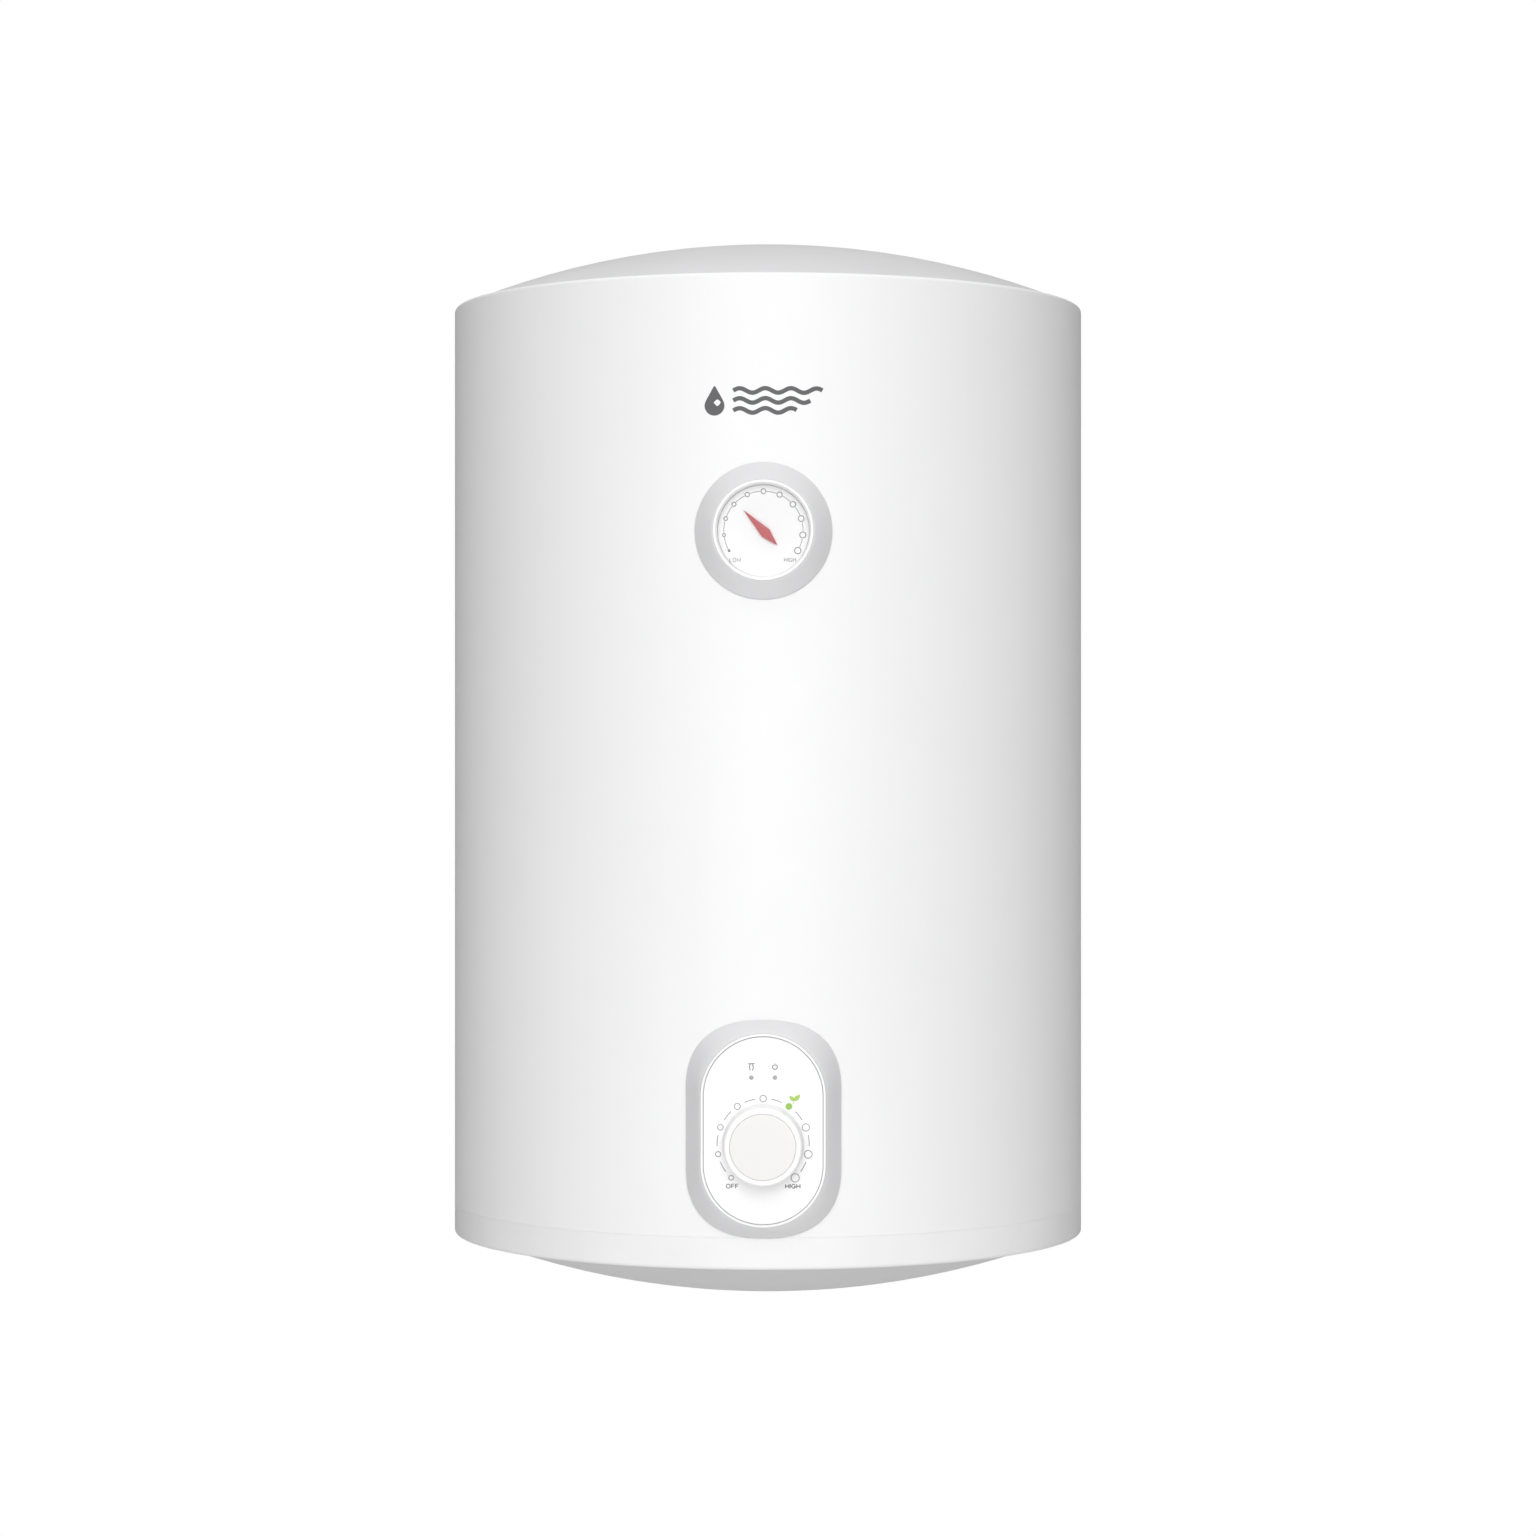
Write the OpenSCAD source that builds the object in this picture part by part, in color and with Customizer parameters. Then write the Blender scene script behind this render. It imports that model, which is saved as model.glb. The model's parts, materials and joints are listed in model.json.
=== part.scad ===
// Wall-hung electric tank water heater, millimetres.
// +Z is up and the front faces -Y. The origin is on the wall plane, midway
// between the four hanger holes, so the heater lies at y below 0.
// The pipes and the cable enter from below, behind the tank's centre line.

/* [Casing] */
// Outer diameter of the painted steel casing
casing_d = 450; // [446:1:454]
// Height of the white body, from the pan's foot to the rolled top edge
body_h = 660; // [640:5:680]
// Thickness of the casing's sheet
sheet = 0.8; // [0.6:0.1:1.0]
// Gap between the casing's back and the wall
wall_gap = 12; // [11:0.5:14]
// Height of the visible band of the bottom pan
band_h = 21.5; // [18:0.5:24]

/* [Covers] */
// Rise of the top cover above the casing's edge
top_rise = 44; // [38:1:48]
// Radius of the top cover where it leaves the casing
top_cover_r = 220; // [218:0.5:221]
// Drop of the bottom cover below the pan
bottom_drop = 39.6; // [36:0.2:46]
// Radius of the bottom cover
bottom_cover_r = 211.5; // [208:0.5:213]
// Wall thickness of the plastic covers
cover_wall = 2.5; // [2:0.1:3]

/* [Tank] */
// Outer radius of the enamelled tank
tank_r = 207; // [204:0.5:208]
// Plate thickness of the tank
tank_wall = 2; // [1.8:0.1:2.4]
// Height of the tank's highest point
tank_top = 345; // [335:1:348]
// Rise of the tank's upper end
tank_cap_top = 45; // [40:1:50]
// Height of the tank's lowest point
tank_bottom = -258; // [-259:0.5:-257]
// Drop of the tank's lower end
tank_cap_bottom = 53; // [50:1:56]

/* [Gauge] */
// Height of the gauge's centre
gauge_z = 158.7; // [120:0.1:180]
// Outer radius of the gauge's bezel
gauge_bezel_r = 45.5; // [42:0.5:50]
// How far the bezel stands out from the casing
gauge_proud = 10; // [8:0.5:12]
// Angle of the needle at rest, clockwise from straight up
needle_angle = -44; // [-120:1:120]

/* [Control panel] */
// Height of the panel's centre
panel_z = -236.5; // [-240:0.5:-235.5]
// Width of the panel's grey bezel
bezel_w = 102.7; // [98:0.1:108]
// Height of the panel's grey bezel
bezel_h = 144.5; // [142:0.1:150]
// Width of the white fascia
fascia_w = 82.6; // [82:0.1:83]
// Height of the white fascia
fascia_h = 127.4; // [126:0.1:128]
// How far the fascia stands out from the casing
fascia_proud = 13; // [12:0.5:14]
// Drop of the knob's centre below the panel's centre
knob_drop = 9.1; // [8:0.1:10.4]
// Radius of the knob at its foot
knob_r = 26.75; // [25.5:0.25:27.5]
// Angle of the knob's pointer at OFF, clockwise from straight up
knob_off_angle = -136; // [-140:1:-130]

/* [Water and cable] */
// Distance between the two pipe nipples
nipple_pitch = 100; // [90:5:110]
// How far the nipples stand behind the tank's centre line
nipple_back = 90; // [85:1:95]
// Outer radius of the G1/2 thread
nipple_r = 10.48; // [10.4:0.02:10.6]
// Bore radius of the nipples
nipple_bore_r = 7.5; // [7:0.1:8]
// Bore radius of the cable gland
gland_bore_r = 4.25; // [3.5:0.25:5]

/* [Hangers] */
// Distance between the two holes of a hanger
hanger_pitch = 196; // [180:2:210]
// Distance between the upper and the lower hanger
hanger_spacing = 360; // [340:10:400]
// Radius of the hanger's holes
hanger_hole_r = 6.25; // [5.5:0.25:6.5]

/* [Hidden] */

$fn = 96;
eps = 0.01;
cut = 1;             // how far a cutting shape runs past the face it cuts
gap = 0.2;           // assembly gap between nested pieces
seam_gap = 0.06;     // the closed joint between the casing and the pan

// Colours
white = [0.96, 0.96, 0.96];
cream = [0.96, 0.955, 0.94];
light_grey = [0.82, 0.82, 0.83];
steel = [0.6, 0.61, 0.63];
copper = [0.78, 0.48, 0.33];
brass = [0.8, 0.68, 0.38];
foam_yellow = [0.93, 0.86, 0.62];
needle_red = [0.83, 0.3, 0.3];

// Main levels and places
casing_r = casing_d / 2;
casing_in_r = casing_r - sheet;
axis_y = -(casing_r + wall_gap);   // the tank's centre line
front_y = axis_y - casing_r;       // the casing's foremost line
top_z = body_h / 2;
foot_z = -body_h / 2;
band_z = foot_z + band_h;          // where the casing meets the bottom pan
edge_r = 2.5;                      // rolled edges of casing and pan
web_z = -285;                      // upper face of the pan's web, under the foam
web_t = 2.5;
access_r = 66;                     // opening in the pan for the heater flange
ledge_in_r = 196;                  // the pan's ledge that carries the bottom cover
ledge_t = 2.6;
cover_seat = 3;                    // the cover's seat above the foot
screw_circle = 203.5;
screw_angles = [45, 135, 225, 315];

// Radius of the sphere that gives a cap of this rise on this base radius.
function cap_r(base, rise) = (base * base + rise * rise) / (2 * rise);
// How far a cylinder of radius r has fallen back at a distance x from its foremost line.
function sag(x, r) = r - sqrt(r * r - x * x);

top_ball = cap_r(top_cover_r, top_rise);
bottom_ball = cap_r(bottom_cover_r, bottom_drop);
tank_ball_top = cap_r(tank_r, tank_cap_top);
tank_ball_bottom = cap_r(tank_r, tank_cap_bottom);

// Height of the bottom cover's outer face at a distance r from the centre line.
function cover_face(r) = foot_z - bottom_drop + sag(r, bottom_ball);

// Gauge, measured outwards from the casing's foremost line
cup_r = 33.2;
rim_wall = 2.2;
bezel_bore_r = cup_r + gap;
gauge_hole_r = 34;
dial_r = 30.7;
dial_t = 0.8;
cup_floor = -3;
movement_r = 26;
movement_back = -15;
needle_level = 2;
needle_t = 0.6;
needle_tip = 19.1;
needle_tail = 13.5;
needle_widest = 2.4;
needle_half_w = 3.5;
spindle_small_r = 0.8;
bearing_small_r = 0.86;

// Control panel, measured outwards from the casing's foremost line
fascia_r = fascia_w / 2;
fascia_face = fascia_proud - 0.5;
fascia_back = fascia_proud - 2.5;
tub_w = 78;
tub_h = 122;
tub_wall = 2;
tub_floor = -15;
tub_lip = 9.5;
well_x = 30;         // half width of the tub's deep part, which holds the thermostat
well_top = 16;       // the deep part's upper end, from the panel's centre
well_bottom = -60;   // and its lower end
well_floor = -42;
well_front = -5;
knob_foot = fascia_face + 0.4;
knob_front = 31.5;
knob_front_r = 25.6;
cap_disc_r = 21.8;
spindle_r = 3;
lamp_x = 7.75;
lamp_y = 35;
lamp_r = 1.5;
thermostat_back = -32;
bracket_half = 36;
bracket_screw_x = 32;
tab_drop = 22;       // from the knob's centre down to the ends of the thermostat's tabs
tab_z = panel_z - knob_drop - tab_drop - gap;

// Heater flange
flange_r = 60;
collar_in_r = 42;
collar_top = -250;
collar_bottom = -268;
gasket_t = 2;
flange_t = 6;
flange_under = collar_bottom - gasket_t - flange_t;
bolt_circle = 51;
bolt_r = 4;
bolt_angles = [30 : 60 : 330];
element_x = 20;
element_y = -16;
element_r = 4.25;
element_top = -30;
pocket_y = 20;
pocket_r = 6.5;
pocket_bore_r = 5.8;
pocket_top = -130;
anode_xy = [26, 12];
anode_r = 10;

// Pipes
nipple_end = foot_z - bottom_drop - 12;
nipple_top = -235;
pipe_r = 10.65;      // the plain pipe above the thread
nipple_place = norm([nipple_pitch / 2, nipple_back]);
thread_top = cover_face(nipple_place) - 5.4;
tank_hole_r = pipe_r + 0.1;
cover_hole_r = pipe_r + 0.5;
collar_ring_r = 16;
gland_back = 150;
gland_r = 9;

// Service space under the pan
block_back = 118;
block_size = [44, 18, 16];
wire_level = -295;   // where the wires leave the terminal block
cutout_xy = [-84, 6];
cutout_h = 22;
button_r = 3;
earth_xy = [38, 0];
wire_r = 1.3;
capillary_r = 1;

// Hangers
hanger_h = 42;
hanger_t = 4;
hanger_half = 130;
hanger_flat = 45;
hanger_joggle = 65;
stud_x = 25;
stud_r = 4;
pad_t = 3;
pad_half = [45, 26];

// Routes of the inner wires and capillaries. Each point is [x, y from the tank's centre line, z].
live_routes = [
    [[-14, 111, wire_level], [-14, 106, wire_level], [-20, 96, -304], [-40, 70, -318], [-66, 34, -320],
     [-77, 14, -317], [-78, 12, -309.8]],
    [[-90, 0, -309.8], [-90, -2, -315], [-86, -40, -319], [-60, -100, -314], [-20, -160, -308],
     [-8, -190, -302], [-8, -196, -288], [-8, -197, tab_z]],
    [[8, -197, tab_z], [8, -196, -288], [8, -188, -304], [2, -140, -316], [-12, -80, -322],
     [-20, -40, -320], [-20, -18, -312], [-20, -16, -302.3]],
];
neutral_routes = [
    [[0, 111, wire_level], [0, 106, wire_level], [2, 96, -306], [18, 60, -326], [30, 20, -328],
     [24, -6, -322], [20, -15, -312], [20, -16, -302.3]],
];
earth_routes = [
    [[14, 111, wire_level], [14, 106, wire_level], [18, 96, -303], [30, 70, -316], [42, 44, -308],
     [53, 20, -300], [54, 4, -288], [50, 0, -280.5], [46, 0, -277.8], [40.3, 0, -277.8]],
];
thermostat_route = [
    [0, -197, tab_z], [0, -196, -288], [0, -191, -300], [-4, -150, -306], [-6, -90, -304],
    [-5, -30, -302], [-3.5, 8, -298], [-2.6, 18, -290], [-2.6, 20, -276], [-2.6, 20, -262]];
cutout_route = [[-84, 23.2, -300], [-78, 36, -302], [-36, 46, -302], [-8, 38, -296],
                [2, 26, -292], [3, 20, -280], [3, 20, -262]];

// ---------------------------------------------------------------- helpers

// Moves its children to the tank's centre line.
module on_axis() {
    translate([0, axis_y, 0]) children();
}

// Turns its children to face the front: x is across, y is up, and z runs outwards from the casing.
module at_front(z) {
    translate([0, front_y, z]) rotate([90, 0, 0]) children();
}

// The same, centred on the control knob.
module at_knob() {
    at_front(panel_z) translate([0, -knob_drop, 0]) children();
}

// Copies of its children at the cover screws, the flange bolts, the element's ends and the pipes.
// They are placed from the tank's centre line.
module at_screws() {
    for (a = screw_angles) rotate([0, 0, a]) translate([screw_circle, 0, 0]) children();
}

module at_bolts() {
    for (a = bolt_angles) rotate([0, 0, a]) translate([bolt_circle, 0, 0]) children();
}

module at_element_ends() {
    for (x = [-1, 1] * element_x) translate([x, element_y, 0]) children();
}

module at_nipples() {
    for (x = [-1, 1] * nipple_pitch / 2) translate([x, nipple_back, 0]) children();
}

// Copies of its children at the four hanger studs, turned so that z runs towards the wall.
module at_studs(y) {
    for (x = [-1, 1] * stud_x, z = [-1, 1] * hanger_spacing / 2)
        translate([x, y, z]) rotate([-90, 0, 0]) children();
}

// A tube from z = low to z = high.
module pipe(outer, inner, low, high) {
    translate([0, 0, low]) difference() {
        cylinder(r = outer, h = high - low);
        translate([0, 0, -cut]) cylinder(r = inner, h = high - low + 2 * cut);
    }
}

// A rod from z = low to z = high.
module rod(r, low, high) {
    translate([0, 0, low]) cylinder(r = r, h = high - low);
}

// A plate centred on x and y, from z = low to z = high.
module slab(size_x, size_y, low, high) {
    translate([-size_x / 2, -size_y / 2, low]) cube([size_x, size_y, high - low]);
}

// An upright stadium outline.
module stadium(width, height) {
    straight = height - width;
    square([width, straight], center = true);
    for (side = [-1, 1]) translate([0, side * straight / 2]) circle(d = width);
}

// A rectangle outline from one corner to the other.
module box2d(low, high) {
    translate(low) square(high - low);
}

// A quarter disc that rounds an outer corner: sx and sy point away from the disc's centre.
module corner2d(centre, r, sx, sy) {
    translate(centre) intersection() {
        circle(r = r);
        translate([sx < 0 ? -r : 0, sy < 0 ? -r : 0]) square(r);
    }
}

// A smooth curve through points: a Catmull-Rom spline with n steps to a span.
function spline_at(a, b, c, d, t) =
    0.5 * (2 * b + (c - a) * t + (2 * a - 5 * b + 4 * c - d) * t * t
        + (3 * b - a - 3 * c + d) * t * t * t);
function smooth(p, n) = concat(
    [for (i = [0 : len(p) - 2], k = [0 : n - 1])
        spline_at(p[max(i - 1, 0)], p[i], p[i + 1], p[min(i + 2, len(p) - 1)], k / n)],
    [p[len(p) - 1]]);
function unit(v) = v / norm(v);
function heading(p, i) = unit(p[min(i + 1, len(p) - 1)] - p[max(i - 1, 0)]);

// A round wire swept along a route, closed at both ends.
module wire(route, r) {
    sides = 8;
    p = smooth(route, 5);
    n = len(p);
    reference = unit([0.8, 0.1, 0.59]);
    ring = [for (i = [0 : n - 1]) let (t = heading(p, i), u = unit(cross(t, reference)), v = cross(t, u))
        for (k = [0 : sides - 1]) p[i] + r * (cos(360 * k / sides) * u + sin(360 * k / sides) * v)];
    skin = [for (i = [0 : n - 2], k = [0 : sides - 1]) let (next = (k + 1) % sides)
        [i * sides + k, (i + 1) * sides + k, (i + 1) * sides + next, i * sides + next]];
    caps = [[for (k = [0 : sides - 1]) k], [for (k = [sides - 1 : -1 : 0]) (n - 1) * sides + k]];
    polyhedron(points = ring, faces = concat(skin, caps), convexity = 6);
}

// ---------------------------------------------------------------- casing and covers

module casing_profile() {
    box2d([casing_in_r, band_z + seam_gap], [casing_r, top_z - edge_r]);
    difference() {
        corner2d([casing_r - edge_r, top_z - edge_r], edge_r, 1, 1);
        translate([casing_r - edge_r, top_z - edge_r]) circle(r = edge_r - sheet);
    }
    box2d([top_cover_r + 0.5, top_z - sheet], [casing_r - edge_r, top_z]);
}

module outer_casing() {
    seam_angle = 55;
    seam_w = 10;
    color(white) difference() {
        union() {
            on_axis() rotate_extrude() casing_profile();
            // the lock seam down the back
            on_axis() rotate([0, 0, seam_angle])
                translate([casing_r - sheet / 2, -seam_w / 2, band_z + 6])
                    cube([1.2, seam_w, body_h - band_h - 14]);
        }
        at_front(gauge_z) rod(gauge_hole_r, -12, 12);
        at_front(panel_z) translate([0, 0, -12]) linear_extrude(24) stadium(tub_w + 2, tub_h + 2);
        at_studs(-20) cylinder(r = stud_r + 1, h = 20);
    }
}

// A ball of radius r whose top is at z = peak, or whose lowest point is there if down is true.
module ball(r, peak, down = false) {
    centre = down ? peak + r : peak - r;
    translate([0, 0, centre]) sphere(r = r, $fn = 240);
}

module top_cover() {
    peak = top_z + top_rise;
    skirt_z = top_z - 18;
    lip_t = 2.5;
    lip_z = top_z - sheet - lip_t;
    color(light_grey) on_axis() {
        difference() {
            intersection() {
                ball(top_ball, peak);
                rod(top_cover_r, skirt_z, peak + cut);
            }
            intersection() {
                ball(top_ball - cover_wall, peak - cover_wall);
                rod(top_cover_r - cover_wall, skirt_z - cut, peak);
            }
        }
        pipe(casing_r - edge_r - 0.2, top_cover_r - cover_wall / 2, lip_z, lip_z + lip_t);
    }
}

module pan_profile() {
    wall = 2.6;
    box2d([casing_r - wall, foot_z + edge_r], [casing_r, band_z]);
    corner2d([casing_r - edge_r, foot_z + edge_r], edge_r, 1, -1);
    box2d([bottom_cover_r + 0.4, foot_z], [casing_r - edge_r, foot_z + cover_seat + ledge_t]);
    box2d([casing_r - edge_r - eps, foot_z + edge_r],
        [casing_r - wall + eps, foot_z + cover_seat + ledge_t]);
    box2d([ledge_in_r, foot_z + cover_seat], [bottom_cover_r + 0.4, foot_z + cover_seat + ledge_t]);
    // the spigot inside the casing, and the web under the foam
    box2d([casing_in_r - 0.3 - wall, band_z - 4], [casing_in_r - 0.3, web_z]);
    box2d([access_r, web_z - web_t], [casing_in_r - 0.3, web_z]);
}

module bottom_pan() {
    boss_top = -312;
    color(white) on_axis() difference() {
        union() {
            rotate_extrude() pan_profile();
            at_screws()
                rod(5, foot_z + cover_seat + eps, boss_top);
        }
        at_screws()
            rod(2, foot_z, boss_top + cut);
        at_nipples()
            rod(pipe_r + 1.5, web_z - web_t - cut, web_z + cut);
        // the opening for the control housing
        translate([0, -casing_r, panel_z]) rotate([90, 0, 0]) {
            translate([0, 0, tub_floor - 1]) linear_extrude(30) stadium(tub_w + 2, tub_h + 2);
            translate([-well_x - 1, well_bottom - 1, well_floor - 1])
                cube([2 * well_x + 2, web_z - panel_z - well_bottom + 2, 2 - well_floor]);
        }
    }
}

module bottom_cover() {
    peak = foot_z - bottom_drop;
    seat_z = foot_z + cover_seat;
    rim = 5;
    color(light_grey) on_axis() difference() {
        intersection() {
            ball(bottom_ball, peak, down = true);
            rod(bottom_cover_r, peak - cut, seat_z);
        }
        // the hollow, which leaves a boss around each screw
        difference() {
            intersection() {
                ball(bottom_ball - cover_wall, peak + cover_wall, down = true);
                rod(bottom_cover_r - rim, peak, seat_z + cut);
            }
            at_screws() rod(6.5, peak, seat_z + 2 * cut);
        }
        at_screws() {
            rod(2.4, peak, seat_z + 3 * cut);
            rod(4.4, peak, foot_z + 0.2);
        }
        at_nipples() rod(cover_hole_r, peak - cut, foot_z);
        translate([0, gland_back, 0]) rod(gland_r + 0.2, peak - cut, foot_z);
    }
}

// A pan-head screw with a cross recess, pointing up, its seat at z = 0.
module pan_screw(shank, head, head_h, reach) {
    difference() {
        union() {
            rod(shank, -eps, reach);
            rod(head, -head_h, 0);
        }
        for (turn = [0, 90]) rotate([0, 0, turn])
            slab(head * 1.2, head * 0.22, -head_h - cut, -head_h + 1);
    }
}

module cover_screws() {
    color(steel) on_axis() at_screws()
        translate([0, 0, foot_z + 0.2]) pan_screw(1.9, 3.7, 2.4, 14);
}

// ---------------------------------------------------------------- tank and foam

// The tank's solid shape, grown outwards by extra.
module tank_shape(extra) {
    intersection() {
        rod(tank_r + extra, tank_bottom - 5, tank_top + 5);
        ball(tank_ball_top + extra, tank_top + extra);
        ball(tank_ball_bottom + extra, tank_bottom - extra, down = true);
    }
}

module inner_tank() {
    color("midnightblue") on_axis() difference() {
        tank_shape(0);
        tank_shape(-tank_wall);
        rod(flange_r + 0.1, tank_bottom - 10, tank_bottom + 20);
        at_nipples()
            rod(tank_hole_r, tank_bottom - 10, nipple_top);
    }
}

module insulation_foam() {
    step_z = top_z - 18.5;
    chase = [10, 90, 22];    // the groove for the gauge's probe
    pocket_back = -30;       // how deep the gauge's pocket and the groove reach
    color(foam_yellow) difference() {
        on_axis() difference() {
            union() {
                rod(casing_in_r - gap, web_z, step_z);
                intersection() {
                    ball(top_ball - cover_wall - gap, top_z + top_rise - cover_wall - gap);
                    rod(top_cover_r - cover_wall - gap, step_z - cut, top_z + top_rise);
                }
            }
            // room for the tank, the heater flange and the pipes
            tank_shape(gap);
            rod(access_r, web_z - cut, tank_bottom + 20);
            at_nipples()
                rod(pipe_r + 0.5, web_z - cut, nipple_top);
        }
        at_front(gauge_z) {
            rod(cup_r + 1.5, cup_floor - gap, 5);
            rod(movement_r + gap, pocket_back, 0);
            translate([-chase[0] / 2, -movement_r - chase[1], pocket_back]) cube(chase + [0, 5, 0]);
        }
        at_front(panel_z) {
            translate([0, 0, tub_floor - gap])
                linear_extrude(40) stadium(tub_w + 2 * gap, tub_h + 2 * gap);
            translate([-well_x - gap, well_bottom - 5, well_floor - gap])
                cube([2 * (well_x + gap), well_top - well_bottom + 5 + gap, 60]);
        }
        for (z = [-1, 1] * hanger_spacing / 2) translate([0, axis_y, z])
            pad_solid(tank_r, tank_r + pad_t + gap, pad_half[0] + gap, pad_half[1] + gap);
        at_studs(-50) cylinder(r = stud_r + gap, h = 50);
    }
}

module tank_flange_collar() {
    color(steel) on_axis() difference() {
        pipe(flange_r, collar_in_r, collar_bottom, collar_top);
        at_bolts()
            rod(bolt_r + 0.1, collar_bottom - cut, collar_bottom + 12);
    }
}

module flange_gasket() {
    color([0.12, 0.12, 0.12]) on_axis() difference() {
        pipe(flange_r, collar_in_r, collar_bottom - gasket_t, collar_bottom);
        at_bolts()
            rod(bolt_r + 0.3, collar_bottom - gasket_t - cut, collar_bottom + cut);
    }
}

module heater_flange() {
    color(steel) on_axis() difference() {
        rod(flange_r, flange_under, flange_under + flange_t);
        at_bolts()
            rod(bolt_r + 0.5, flange_under - cut, collar_bottom);
        at_element_ends()
            rod(element_r + 0.05, flange_under - cut, collar_bottom);
        translate([0, pocket_y, 0]) rod(pocket_r + 0.05, flange_under - cut, collar_bottom);
        translate([anode_xy[0], anode_xy[1], 0]) rod(3.1, flange_under - cut, collar_bottom);
        translate([earth_xy[0], earth_xy[1], 0]) rod(2.1, flange_under - cut, flange_under + 4);
    }
}

module flange_bolts() {
    head_h = 5.3;
    across = 13;
    color(steel) on_axis() at_bolts() {
        rod(bolt_r, flange_under - eps, flange_under + flange_t + gasket_t + 11);
        rod(8, flange_under - 1.5, flange_under);
        translate([0, 0, flange_under - 1.5 - head_h])
            cylinder(r = across / sqrt(3), h = head_h + eps, $fn = 6);
    }
}

module heating_element() {
    color(copper) on_axis() translate([0, element_y, 0]) {
        for (x = [-1, 1] * element_x) translate([x, 0, 0]) rod(element_r, flange_under - 6, element_top);
        translate([0, 0, element_top]) rotate([90, 0, 0]) rotate_extrude(angle = 180)
            translate([element_x, 0]) circle(r = element_r);
    }
}

module element_terminals() {
    color("ivory") on_axis() at_element_ends() {
        rod(element_r + 0.6, flange_under - 14, flange_under - 6);
        rod(2, flange_under - 26, flange_under - 14 + eps);
    }
}

module sensor_pocket() {
    color(copper) on_axis() translate([0, pocket_y, 0]) difference() {
        union() {
            rod(pocket_r, flange_under - 3, pocket_top - pocket_r);
            translate([0, 0, pocket_top - pocket_r]) sphere(r = pocket_r);
        }
        rod(pocket_bore_r, flange_under - 3 - cut, pocket_top - pocket_r - 1);
    }
}

module anode_rod() {
    color([0.75, 0.76, 0.75]) on_axis() translate([anode_xy[0], anode_xy[1], 0]) {
        rod(anode_r, collar_bottom + 10, -40);
        rod(3, flange_under - 12, collar_bottom + 10 + eps);
    }
}

module anode_nut() {
    color(steel) on_axis() translate([anode_xy[0], anode_xy[1], 0]) difference() {
        union() {
            translate([0, 0, flange_under - 6]) cylinder(r = 10 / sqrt(3), h = 5, $fn = 6);
            rod(6.5, flange_under - 1.2, flange_under);
        }
        rod(3.05, flange_under - 10, flange_under + cut);
    }
}

// ---------------------------------------------------------------- pipes and cable entry

module nipple(side) {
    color(steel) on_axis() translate([side * nipple_pitch / 2, nipple_back, 0]) difference() {
        union() {
            pipe(nipple_r, nipple_bore_r, nipple_end, thread_top + cut);
            pipe(pipe_r, nipple_bore_r, thread_top, nipple_top);
        }
        // the chamfer at the thread's start
        difference() {
            rod(nipple_r + 1, nipple_end - eps, nipple_end + 1);
            translate([0, 0, nipple_end - eps])
                cylinder(r1 = nipple_r - 1, r2 = nipple_r + eps, h = 1 + 2 * eps);
        }
    }
}

module cold_inlet_nipple() {
    nipple(1);
}

module hot_outlet_nipple() {
    nipple(-1);
}

module inlet_diffuser() {
    top = nipple_top + 26;
    color("whitesmoke") on_axis() translate([nipple_pitch / 2, nipple_back, 0]) difference() {
        rod(9.5, nipple_top, top);
        rod(7.2, nipple_top - cut, top - 2);
        for (turn = [0, 60, 120]) rotate([0, 0, turn]) slab(30, 4, top - 14, top - 6);
    }
}

module outlet_tube() {
    color(steel) on_axis() translate([-nipple_pitch / 2, nipple_back, 0])
        pipe(8.5, 7, nipple_top, tank_top - tank_cap_top);
}

// A coloured ring around a nipple, its upper face shaped to the bottom cover.
module mark_ring(side) {
    on_axis() difference() {
        translate([side * nipple_pitch / 2, nipple_back, 0])
            pipe(collar_ring_r, pipe_r + 0.15, thread_top, thread_top + 12);
        ball(bottom_ball + 0.05, foot_z - bottom_drop - 0.05, down = true);
    }
}

module inlet_collar() {
    color("royalblue") mark_ring(1);
}

module outlet_collar() {
    color("firebrick") mark_ring(-1);
}

module cable_gland() {
    face = cover_face(gland_back);
    color([0.2, 0.2, 0.21]) on_axis() difference() {
        union() {
            translate([0, gland_back, 0]) {
                rod(gland_r, face - 8, face + 13);
                translate([0, 0, face - 14]) cylinder(r = 20 / sqrt(3), h = 6.2, $fn = 6);
            }
            // the shoulder's upper face is shaped to the cover
            difference() {
                translate([0, gland_back, 0]) rod(13, face - 8, face + 6);
                ball(bottom_ball + 0.05, foot_z - bottom_drop - 0.05, down = true);
            }
        }
        translate([0, gland_back, 0]) rod(gland_bore_r, face - 15, face + 14);
    }
}

module gland_nut() {
    face = cover_face(gland_back);
    color([0.2, 0.2, 0.21]) on_axis() translate([0, gland_back, face + 6.8]) difference() {
        cylinder(r = 24 / sqrt(3), h = 5, $fn = 6);
        translate([0, 0, -cut]) cylinder(r = gland_r + 0.1, h = 5 + 2 * cut);
    }
}

// ---------------------------------------------------------------- gauge

module gauge_bezel() {
    land = 1.4;          // height of the outer edge over the casing's foremost line
    inner_land = 1.6;    // width of the flat beside the rim
    foot = -8;           // below the casing, before the foot is shaped to it
    color(light_grey) difference() {
        at_front(gauge_z) rotate_extrude() polygon([
            [bezel_bore_r, foot], [gauge_bezel_r, foot], [gauge_bezel_r, land - 2],
            [gauge_bezel_r - 0.6, land - 0.4], [bezel_bore_r + inner_land, gauge_proud - 0.3],
            [bezel_bore_r + inner_land - 0.4, gauge_proud], [bezel_bore_r, gauge_proud]]);
        on_axis() translate([0, 0, gauge_z - 60]) cylinder(r = casing_r + gap, h = 120, $fn = 480);
    }
}

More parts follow.
